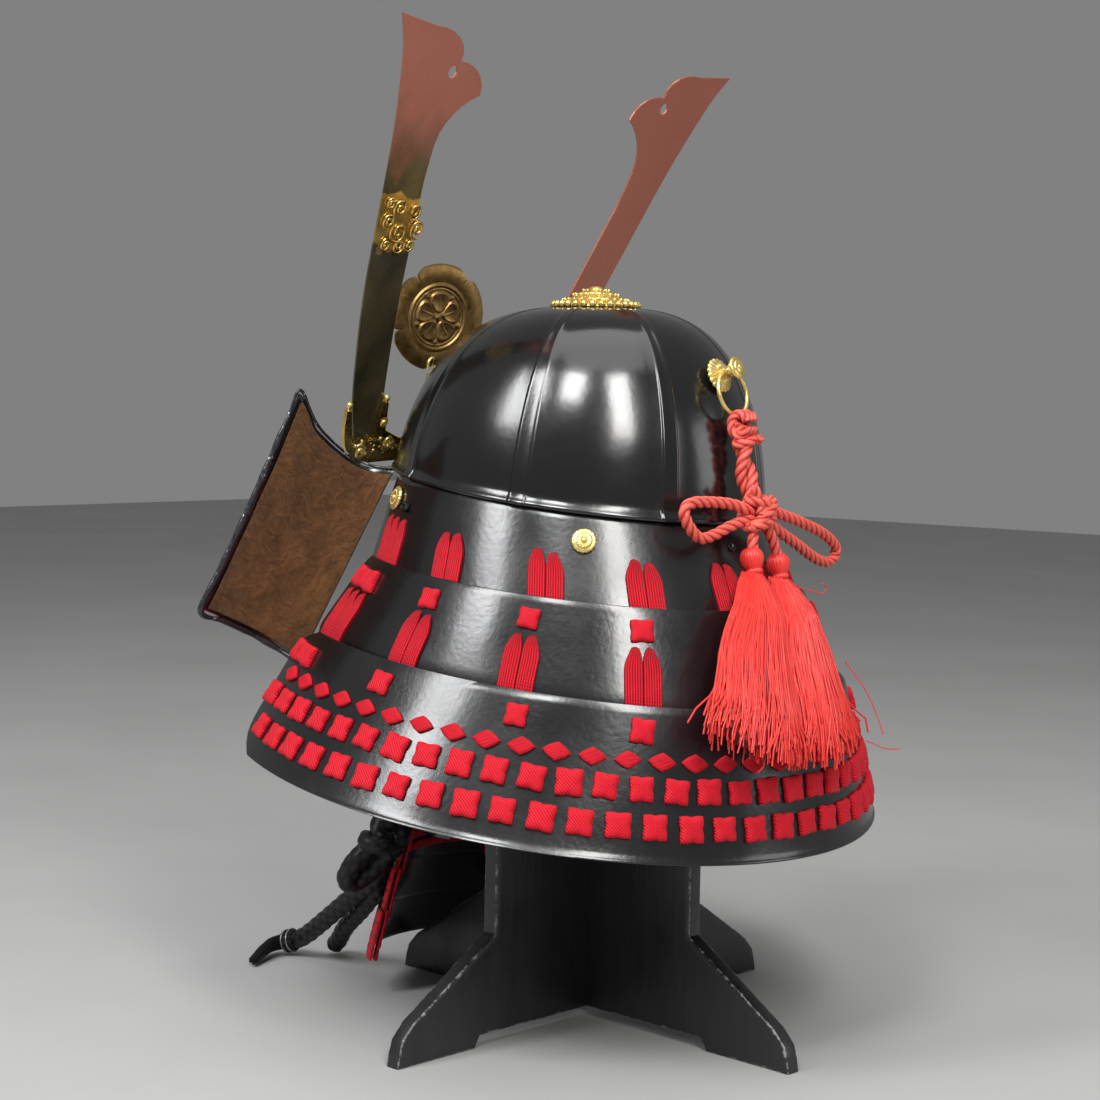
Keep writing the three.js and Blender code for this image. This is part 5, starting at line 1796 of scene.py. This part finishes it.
@dataclass
class RedCord:
    """The red cord tied in a bow at the back, from the ring to its two tassels."""

    finishes: Finishes
    rope: Rope = field(default_factory=Rope)
    run: tuple[Point, ...] = ((0.5, 112.5, 381), (1, 113, 372), (2, 116, 356), (2, 121, 336))
    left: tuple[Point, ...] = ((5, 125, 330), (12, 124, 331), (22, 121, 334), (40, 118, 335.5),
                               (54, 116, 335), (59, 115, 330), (54, 115.5, 321), (45, 116.5, 314.5),
                               (34, 118, 316), (22, 121, 321), (8, 124, 325), (2, 126, 327))
    right: tuple[Point, ...] = ((0, 126, 329), (-8, 126, 330), (-22, 126, 327), (-45, 126, 321),
                                (-68, 125, 314), (-84, 123.5, 306), (-86, 123, 299.5), (-77, 123.5, 295.5),
                                (-62, 124.5, 298.5), (-40, 126, 308), (-20, 126, 317), (-6, 125, 324),
                                (1, 125, 327))
    head_left: Point = (10, 128.5, 302)
    head_right: Point = (-17, 128.5, 297.5)

    def doubled(self) -> Shape:
        """The two ropes twisted round each other between the ring and the bow."""
        line = along_line(vectors(self.run), 90)
        made, travelled = Shape(), [0.0]
        for a, b in zip(line, line[1:]):
            travelled.append(travelled[-1] + (b - a).length)
        for half in (0.0, math.pi):
            route = []
            for (_, side, up), p, s in zip(frames(line), line, travelled):
                turn = 2 * math.pi * s / 46 + half + 0.5
                route.append(p + (side * math.cos(turn) + up * math.sin(turn)) * 3.35)
            made.add(self.rope.along(route))
        return made

    def ring_knot(self) -> Shape:
        """The wraps that hold the cord on the ring."""
        made, centre = Shape(), Vector((0.5, 113.2, 379.5))
        for x, lean in ((-4.0, -0.16), (0.2, 0.04), (4.4, 0.22)):
            turn = self.rope.wrap(centre + Vector((x, 0, 0.8)), Vector((1, lean, 0.25 * lean)),
                                  Vector((0, 0, 1)), (6.4, 5.2), -70, 262)
            made.add(self.rope.along(turn, thick=5.6))
        low = self.rope.wrap(centre + Vector((0, 0.8, -8.2)), Vector((0.18, 0, 1)), Vector((1, 0, 0)),
                             (5.8, 5.0), -40, 300, 4.0)
        made.add(self.rope.along(low, thick=5.6))
        tail = [(-3, 117, 374), (-6, 119, 371.5), (-8.5, 119.5, 372.5)]
        return made.add(self.rope.along(tail, thick=5.2))

    def bow_knot(self) -> Shape:
        """The knot of the bow: wraps that cross over the middle."""
        made, centre = Shape(), Vector((1.0, 124.5, 328))
        up, across, back = Vector((0, 0, 1)), Vector((1, 0, 0)), Vector((0, 1, 0))
        for at, axis, wide, radii, start, end, rise in (
            (centre + Vector((5.2, 0.6, 1.5)), across + up * 0.35, up, (9.6, 6.6), -100, 200, 2.0),
            (centre + Vector((-5.6, 0.6, 0.5)), across - up * 0.45, up, (9.4, 6.6), -100, 200, -2.0),
            (centre + Vector((0, 2.2, -4.6)), up + across * 0.22, across, (9.2, 6.2), -30, 220, 2.0),
            (centre + Vector((0, 2.0, 5.6)), up - across * 0.25, across, (8.8, 5.6), -30, 220, -2.0),
        ):
            made.add(self.rope.along(self.rope.wrap(at, axis, wide, radii, start, end, rise), thick=6.4))
        diagonal = [centre + across * 9 - up * 8 + back * 3, centre + across * 3 - up * 1 + back * 8.6,
                    centre - across * 5 + up * 5 + back * 8.4, centre - across * 10 + up * 8 + back * 3]
        made.add(self.rope.along(diagonal, thick=6.2))
        stub = [centre + across * 4 + up * 5 + back * 5, centre + across * 7.5 + up * 12 + back * 5.5,
                centre + across * 9.5 + up * 15.5 + back * 4.5]
        return made.add(self.rope.along(stub, thick=5.6))

    def build(self) -> None:
        made = self.doubled().add(self.ring_knot()).add(self.bow_knot())
        knot = piece("red_cord_knots", made, self.finishes.rope, 80)
        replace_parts(knot, "red_cord")
        loops = []
        for name, route in (("left", self.left), ("right", self.right)):
            loop = piece(f"red_cord_loop_{name}", self.rope.along(route), self.finishes.rope, 80)
            line = along_line(vectors(route), 60)
            tuple(placed(line[0]))
            [tuple(placed(p)) for p in line]
            loops.append(loop)
        for name, route in (("left", ((3, 125, 325), (6.5, 126.5, 317), (9, 128, 309), (10, 128.5, 303))),
                            ("right", ((-4, 125, 325), (-11, 127, 314), (-15.5, 128, 304),
                                       (-17, 128.5, 299)))):
            made = self.rope.along(route)
            piece(f"red_cord_end_{name}", made, self.finishes.rope, 80)


@dataclass
class Tassels:
    """The two silk tassels: a folded head, a tight neck and hundreds of hanging threads."""

    finishes: Finishes
    cord: RedCord
    threads: int = 430
    thread: float = 0.56
    rows: tuple[tuple[float, ...], ...] = (
        (294.2, 129.0, 4.5, 10.5, -16.8, -3.0, 5.5, 5.5), (286.0, 136.0, 6.5, 14.5, -15.5, -0.5, 12.0, 10.0),
        (271.0, 149.0, 8.0, 24.0, -11.0, 6.5, 21.0, 15.0), (247.0, 160.5, 9.0, 38.0, -4.0, 16.5, 32.0, 22.5),
        (219.0, 173.0, 9.5, 48.0, 1.0, 24.5, 41.0, 28.5), (194.0, 177.0, 10.5, 54.0, 3.0, 28.5, 46.0, 33.0))
    rise: tuple[float, float] = (24.0, 10.0)

    def level(self, fall: float, side: Side) -> tuple[float, float, float, float, float, float]:
        """The skirt's slice at a share of its fall: height, depth, half thickness, middle and two halves."""
        at = fall * (len(self.rows) - 1)
        i = min(int(at), len(self.rows) - 2)
        z, y, thick, left, right, between, *wides = (mix(a, b, at - i)
                                                     for a, b in zip(self.rows[i], self.rows[i + 1]))
        middle, wide = (left, wides[0]) if side is Side.LEFT else (right, wides[1])
        if side is Side.RIGHT:
            z -= 4.5
        return z, y, thick, middle, min(abs(middle - between) - 0.3, wide), wide

    def place(self, fall: float, turn: float, share: float, side: Side) -> Vector:
        """A point of the skirt: a share of the way out from its middle at an angle, at a fall."""
        z, y, thick, middle, inner, outer = self.level(min(fall, 1.0), side)
        across = outer if math.cos(turn) * side.value > 0 else inner
        lift = self.rise[0] if side is Side.LEFT else self.rise[1]
        drop = lift * max(0.0, math.cos(turn) * side.value) ** 2 * min(fall, 1.0)
        back = abs(math.cos(turn) * across) * 0.16
        return Vector((middle + across * share * math.cos(turn),
                       y + thick * share * math.sin(turn) - back * share,
                       z + drop - max(0.0, fall - 1.0) * 110))

    def core(self, side: Side) -> Shape:
        """The inside of the skirt, with the threads' folds on it, coloured darker as painted shade between the
        threads.
        """
        rows = []
        for fall in spread(0, 0.97, 44):
            row = []
            for k in range(150):
                turn = 2 * math.pi * k / 150
                fold = (0.035 * math.sin(23 * turn + 2.0 * math.sin(2.4 * fall)) + 0.03
                        * math.sin(41 * turn - 3 * fall))
                row.append(self.place(fall, turn, 0.93 + fold * smooth(0.02, 0.3, fall), side))
            rows.append(row)
        return capped(rows, (1.0, 3.0))

    def strands(self, side: Side) -> Shape:
        """The threads over the core, each a fine bar, with uneven cut ends."""
        rng = random.Random(17 + side.value)
        made = Shape()
        for _ in range(self.threads):
            turn = rng.uniform(0, 2 * math.pi)
            share = rng.uniform(0.88, 1.08)
            drift, wave, phase = rng.gauss(0, 0.2), rng.uniform(0.02, 0.09), rng.uniform(0, 6.28)
            end = rng.uniform(0.93, 1.06) if rng.random() < 0.6 else rng.uniform(0.8, 0.97)
            start = rng.uniform(0.0, 0.06)
            flick = rng.gauss(0, 3.4) * (1 if rng.random() < 0.7 else 2.4)
            line = []
            for k in range(14):
                fall = mix(start, end, k / 13)
                t = turn + drift * fall + wave * math.sin(8 * fall + phase)
                bulge = 0.03 * math.sin(11 * fall + 2 * phase) * smooth(0.05, 0.3, fall)
                p = self.place(fall, t, share + bulge + 0.06 * smooth(0.7, 1, fall), side)
                late = smooth(0.8, 1.0, fall)
                p += Vector((flick * late, 1.4 * late, abs(flick) * 0.25 * late))
                line.append(p)
            made.add(tube(line, self.thread * rng.uniform(0.75, 1.2), 5))
        return made

    def head(self, at: Point) -> Shape:
        """A folded silk head over a tight neck."""
        def fold(turn: float, height: float) -> float:
            """How far the folds stand out round the head."""
            return 0.16 * math.sin(26 * turn) + 0.1 * math.sin(15 * turn + height)

        profile = [(4.2, -9.6), (5.0, -8.4), (4.9, -7.2), (4.2, -6.4), (4.9, -5.4), (6.3, -3.2), (7.0, -0.6),
                   (6.9, 1.8), (6.0, 4.0), (4.6, 5.5), (3.2, 6.2)]
        return lathe(profile, 130, fold).turned(moved(at[0], at[1], at[2]) @ Matrix.Rotation(0.25, 4, "X"))

    def loose(self) -> Shape:
        """A few threads that have come away."""
        made = Shape()
        for route in (((24, 139, 284), (31, 143, 272), (35, 149, 262), (30, 152, 255)),
                      ((27, 149, 264), (36, 152, 250), (47, 156, 238), (66, 158, 228), (84, 154, 223)),
                      ((34, 160, 246), (40, 166, 232), (43, 171, 216), (48, 176, 206)),
                      ((-24, 136, 284), (-38, 138, 281), (-47, 141, 279), (-50, 141, 283), (-45, 142, 285)),
                      ((-40, 163, 240), (-50, 172, 222), (-55, 178, 205), (-56, 181, 196)),
                      ((58, 176, 208), (68, 180, 200), (76, 183, 195)),
                      ((60, 178, 203), (69, 183, 193), (79, 186, 190)),
                      ((-30, 186, 196), (-46, 189, 190), (-62, 189, 188))):
            made.add(tube(along_line(vectors(route), 34), 0.36, 6))
        return made

    def build(self) -> None:
        """Make both tassels."""
        for side in Side:
            at = self.cord.head_left if side is Side.LEFT else self.cord.head_right
            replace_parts(piece(f"tassel_{side.word}_head", self.head(at), self.finishes.strand, 80),
                        f"tassel_head_{side.word}")
            core = piece(f"tassel_{side.word}_core", self.core(side), self.finishes.tassel, 80)
            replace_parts(core, f"tassel_skirt_{side.word}")
            piece(f"tassel_{side.word}_threads", self.strands(side), self.finishes.strand, 80)
        piece("loose_threads", self.loose(), self.finishes.strand, 80)


# ---------------------------------------------------------------- chin guard, throat guard and black cord


@dataclass
class Guards:
    """The chin guard and the three throat lames, laced in red along their edges."""

    finishes: Finishes
    scatter: Scatter
    y: float = -85.0
    thick: float = 1.8

    def at(self, angle: float, down: float, form: tuple[float, ...]) -> Vector:
        """A point of a guard's outer face."""
        top, bottom, narrow, wide = form
        reach = mix(narrow, wide, down)
        turn = math.radians(angle)
        return Vector((reach * math.sin(turn), self.y - reach * math.cos(turn), mix(top, bottom, down)))

    def spot(self, angle: float, down: float, form: tuple[float, ...], size: float, out: float = 0.2,
             inner: bool = False) -> Spot:
        """A spot for a lump on a guard."""
        along = unit(self.at(angle + 0.1, down, form) - self.at(angle - 0.1, down, form))
        fall = unit(self.at(angle, down + 0.01, form) - self.at(angle, down - 0.01, form))
        away = unit(fall.cross(along)) * (-1 if inner else 1)
        place = self.at(angle, down, form) + away * (out + (self.thick if inner else 0.0))
        return Spot(place, along, away, (size, size, size))

    def build(self, square: Shape) -> None:
        """Make the guards and their lacing."""
        lames = ((111, 80, 53.5, 62, 50), (84.5, 52, 63.2, 71, 54), (56.5, 24, 72.2, 80, 58))
        spots, inside = [], []
        for number, (*form, end) in enumerate(lames):
            made = wall(lambda a, d, f=tuple(form): self.at(a, d, f), spread(-end, end, 60), spread(0, 1, 14),
                        self.thick, 3)
            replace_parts(piece(f"throat_lame_{number + 1}_shell", made, self.finishes.plate),
                        f"throat_lame_{number + 1}")
            rows = (0.35, 0.62) if number < 2 else (0.2, 0.42, 0.64, 0.84)
            for down in rows:
                count = int(end / 5.2)
                for k in range(-count, count + 1):
                    angle = k * 5.2 + (2.6 if rows.index(down) % 2 else 0)
                    if abs(angle) < end - 2:
                        spots.append(self.spot(angle, down, tuple(form), 0.5, 0.2))
                    if number == 0 and abs(angle) < end - 6:
                        inside.append(self.spot(angle, down, tuple(form), 0.4, 0.2, True))
            for sign in (1, -1):
                for down in spread(0.14, 0.88, 3):
                    spots.append(self.spot(sign * (end - 2.4), down, tuple(form), 0.62))
                    inside.append(self.spot(sign * (end - 2.4), down, tuple(form), 0.62, 0.2, True))
        chin = (166, 109, 59, 49.2)
        made = wall(lambda a, d: self.at(a, d, chin), spread(-100, 100, 90), spread(0, 1, 18), -self.thick, 3)
        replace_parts(piece("chin_guard_shell", made, self.finishes.lacquer), "chin_guard")
        self.scatter.over("throat_laces", square, spots, self.finishes.knot, 0.08)
        self.scatter.over("throat_laces_inside", square, inside, self.finishes.knot, 0.12)


@dataclass
class BlackCord:
    """The black braided chin cord: its loop to both sides of the bowl, its knot, bow and two ends."""

    finishes: Finishes
    diameter: float = 14.0
    strap: tuple[Point, ...] = ((100, -48, 320), (96, -64, 270), (88, -86, 205), (76, -104, 150),
                                (60, -120, 116), (34, -145, 106), (0, -157, 104), (-34, -145, 106),
                                (-60, -120, 116), (-76, -104, 150), (-88, -86, 205), (-96, -64, 270),
                                (-100, -48, 320))
    loop: tuple[Point, ...] = ((51, -121, 112), (57, -124, 108), (66, -131, 99), (74, -139, 87),
                               (74, -145, 76), (67, -145, 73), (60, -138, 80), (55, -130, 90), (50, -124, 98))
    long_end: tuple[Point, ...] = ((52, -128, 98), (47, -142, 76), (43, -168, 58), (39, -196, 38),
                                   (35, -222, 20), (33, -236, 12))
    short_end: tuple[Point, ...] = ((51, -131, 94), (44.5, -143, 79), (37.5, -152, 65), (30, -173, 46),
                                    (21, -200, 26), (13, -216, 12), (11, -222, 7.4))
    knot: Point = (57, -122, 110)

    def braid(self, points: Sequence[Point | Vector], thick: float, spacing: float = 0.85) -> Shape:
        """A round braid of interlaced plaits along points."""
        line = vectors(points)
        route = along_line(line, max(16, int(length_of(line) / spacing)))
        pitch, plaits = thick * 1.55, 4

        def section(travelled: float, turn: float) -> float:
            """How far the plaits stand out round the cord."""
            u = plaits * turn + 2 * math.pi * plaits * travelled / (pitch * 2.0)
            w = plaits * turn - 2 * math.pi * plaits * travelled / (pitch * 2.0)
            return 0.90 + 0.115 * abs(math.cos(u / 2) * math.cos(w / 2)) ** 0.6

        made = tube(route, thick / 2, 40, False, section)
        # how far each plait stands out, for its painted sheen
        marks = []
        for i in range(len(route)):
            for k in range(40):
                reach = (made.points[i * 40 + k] - route[i]).length / (thick / 2)
                marks.append(smooth(0.92, 1.01, reach))
        made.marks = marks + [0.0] * (len(made.points) - len(marks))
        return made

    def wraps(self) -> Shape:
        """The knot under the chin guard's left side."""
        made, centre = Shape(), Vector(self.knot)
        rope = Rope()
        for at, axis, wide, radii, start, end, rise in (
            ((0, 0, 0), (0.5, 0.75, 0.3), (0, 0, 1), (9.5, 7.5), 0, 330, 7.0),
            ((3, -5, -6), (0.1, 0.3, 1), (1, 0, 0), (10.5, 8.5), -60, 240, 5.0),
            ((-4, -7, -9), (1, 0.1, 0.6), (0, 0, 1), (8.5, 7.0), -80, 220, -4.0),
        ):
            made.add(self.braid(rope.wrap(centre + Vector(at), Vector(axis), Vector(wide), radii, start, end,
                                          rise), 12.5))
        return made

    def binding(self) -> Shape:
        """Two turns of silver thread over the ribbon, lying a little aslant."""
        turn, made = facing(Vector((0.3, -0.9, -0.3))), Shape()
        for along in (-2.2, 2.0):
            ring = [Vector((7.9 * math.cos(t), 7.9 * math.sin(t), along + 1.2 * math.cos(t)))
                    for t in (2 * math.pi * i / 60 for i in range(60))]
            made.add(tube(ring, 0.55, 8, True))
        return made.turned(moved(34.6, -242.4, 10.4) @ turn)

    def band(self) -> Shape:
        """The black ribbon round the long end."""
        turn = facing(Vector((0.3, -0.9, -0.3)))
        profile = [(6.6, -4.6), (7.4, -4.0), (7.7, -2.6), (7.4, -1.6), (7.7, -0.4), (7.7, 0.9), (7.3, 1.7),
                   (7.7, 2.8), (7.4, 4.0), (6.5, 4.6)]
        return lathe(profile, 60).turned(moved(34.6, -242.4, 10.4) @ turn)

    def fringe(self) -> Shape:
        """The fine black threads that spread from the band over the surface."""
        rng = random.Random(5)
        made = Shape()
        stations = ((37.7, -248.2, 9.0, 5.4, 5.0), (46, -250, 8.0, 6.2, 4.6), (58, -246, 5.6, 6.4, 3.4),
                    (71, -240, 3.4, 5.4, 1.6))
        for _ in range(170):
            turn, share = rng.uniform(0, 2 * math.pi), rng.uniform(0.2, 1.0) ** 0.5
            line = []
            last = rng.uniform(0.82, 1.08)
            for k in range(8):
                at = k / 7 * last * 3
                j = min(int(at), 2)
                x, y, z, wide, high = (mix(a, b, at - j) for a, b in zip(stations[j], stations[j + 1]))
                line.append(Vector((x + wide * 0.35 * share * math.cos(turn),
                                    y + wide * share * math.cos(turn),
                                    max(0.6, z + high * share * math.sin(turn)))))
            made.add(tube(line, 0.42, 5))
        return made

    def build(self) -> None:
        parts = {"chin_cord_strap": (self.strap, self.diameter, "object", "loose"),
                 "chin_cord_loop": (self.loop, self.diameter, "object", "loose"),
                 "chin_cord_long_end": (self.long_end, self.diameter * 0.92, "fitting", "loose"),
                 "chin_cord_short_end": (self.short_end, self.diameter * 0.92, "bare", "loose")}
        band = piece("chin_cord_ribbon", self.band(), self.finishes.ribbon, 60)
        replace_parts(band, "cord_end_band")
        binding = piece("chin_cord_binding", self.binding(), self.finishes.silver, 60)
        fringe = piece("chin_cord_fringe", self.fringe(), self.finishes.braid, 80)
        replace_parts(fringe, "cord_end_fringe")
        knot = piece("chin_cord_knot", self.wraps(), self.finishes.braid, 80)
        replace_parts(knot, "chin_cord")
        for name, (route, thick, end, lay) in parts.items():
            made = piece(name, self.braid(route, thick), self.finishes.braid, 80)
            line = along_line(vectors(route), 60)
            tuple(placed(line[0]))
            [tuple(placed(p)) for p in line]


# ---------------------------------------------------------------- stand


@dataclass
class Stand:
    """Two crossed boards with sloping feet, their edges softened and rubbed pale."""

    finishes: Finishes
    turn: float = 2.8
    board: float = 11.0
    foot: tuple[tuple[float, float], ...] = ((104, 0), (167, 0), (166, 8), (163.5, 16), (155, 25),
                                             (131, 40.5), (88.7, 67.8), (88.7, 384), (74, 408), (45, 428),
                                             (0, 434))

    def outline(self) -> list[tuple[float, float]]:
        """The board's outline, cut into short steps."""
        half = list(self.foot)
        points = half + [(-x, z) for x, z in half[::-1][1:]] + [(-100, 7.2), (100, 7.2)]
        made: list[tuple[float, float]] = []
        count = len(points)
        for i, (x, z) in enumerate(points):
            nx, nz = points[(i + 1) % count]
            far = math.hypot(nx - x, nz - z)
            parts = max(1, int(far / 7))
            made += [(mix(x, nx, k / parts), mix(z, nz, k / parts)) for k in range(parts)]
        return made

    def shape(self) -> Shape:
        """One board standing along X, with small round edges."""
        outline = self.outline()
        count = len(outline)
        normals = []
        for i in range(count):
            (ax, az), (bx, bz) = outline[i - 1], outline[(i + 1) % count]
            far = max(math.hypot(bx - ax, bz - az), 1e-9)
            normals.append(((bz - az) / far, -(bx - ax) / far))
        rows, marks = [], []
        half = self.board / 2
        for y, inset, mark in ((-half, 5.0, 0.1), (-half, 2.2, 0.55), (-half + 0.25, 0.9, 0.9),
                               (-half + 0.9, 0.2, 1.0), (-half + 2.0, 0.0, 0.5), (0.0, 0.0, 0.1),
                               (half - 2.0, 0.0, 0.5), (half - 0.9, 0.2, 1.0), (half - 0.25, 0.9, 0.9),
                               (half, 2.2, 0.55), (half, 5.0, 0.1)):
            row = []
            for (x, z), (nx, nz) in zip(outline, normals):
                row.append(Vector((x - nx * inset, y, max(0.0, z - nz * inset))))
            rows.append(row)
            marks += [mark] * count
        made = grid(rows, close_columns=True)
        made.marks = marks
        last = (len(rows) - 1) * count
        made.faces += [tuple(range(count))[::-1], tuple(range(last, last + count))]
        return made

    def build(self) -> None:
        """Stand the two boards across each other."""
        for name, turn in (("long", 90 - self.turn), ("cross", -self.turn)):
            made = self.shape().turned(Matrix.Rotation(math.radians(turn), 4, "Z"))
            shown = piece(f"stand_{name}_board", made, self.finishes.stand, 40)
            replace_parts(shown, f"stand_board_{name}")


def main() -> None:
    """Build every piece of the helmet in order."""
    logging.basicConfig(level=logging.INFO, format="%(message)s")
    finishes = Finishes()
    Studio().build()
    cord = RedCord(finishes)
    cord.build()
    BlackCord(finishes).build()
    scatter = Scatter()
    lacing = Lacing(finishes, scatter)
    Bowl(finishes).build()
    TopOrnament(finishes).build()
    NeckPlates(finishes).build()
    lacing.build()
    Bosses(finishes).build()
    Turnback(finishes).build()
    Horns(finishes).build()
    Crest(finishes, scatter).build()
    RearFitting(finishes).build()
    Tassels(finishes, cord).build()
    Guards(finishes, scatter).build(lacing.tile(7.5, 0.36, 3.2, 0.13))
    Stand(finishes).build()


if __name__ == "__main__":
    main()
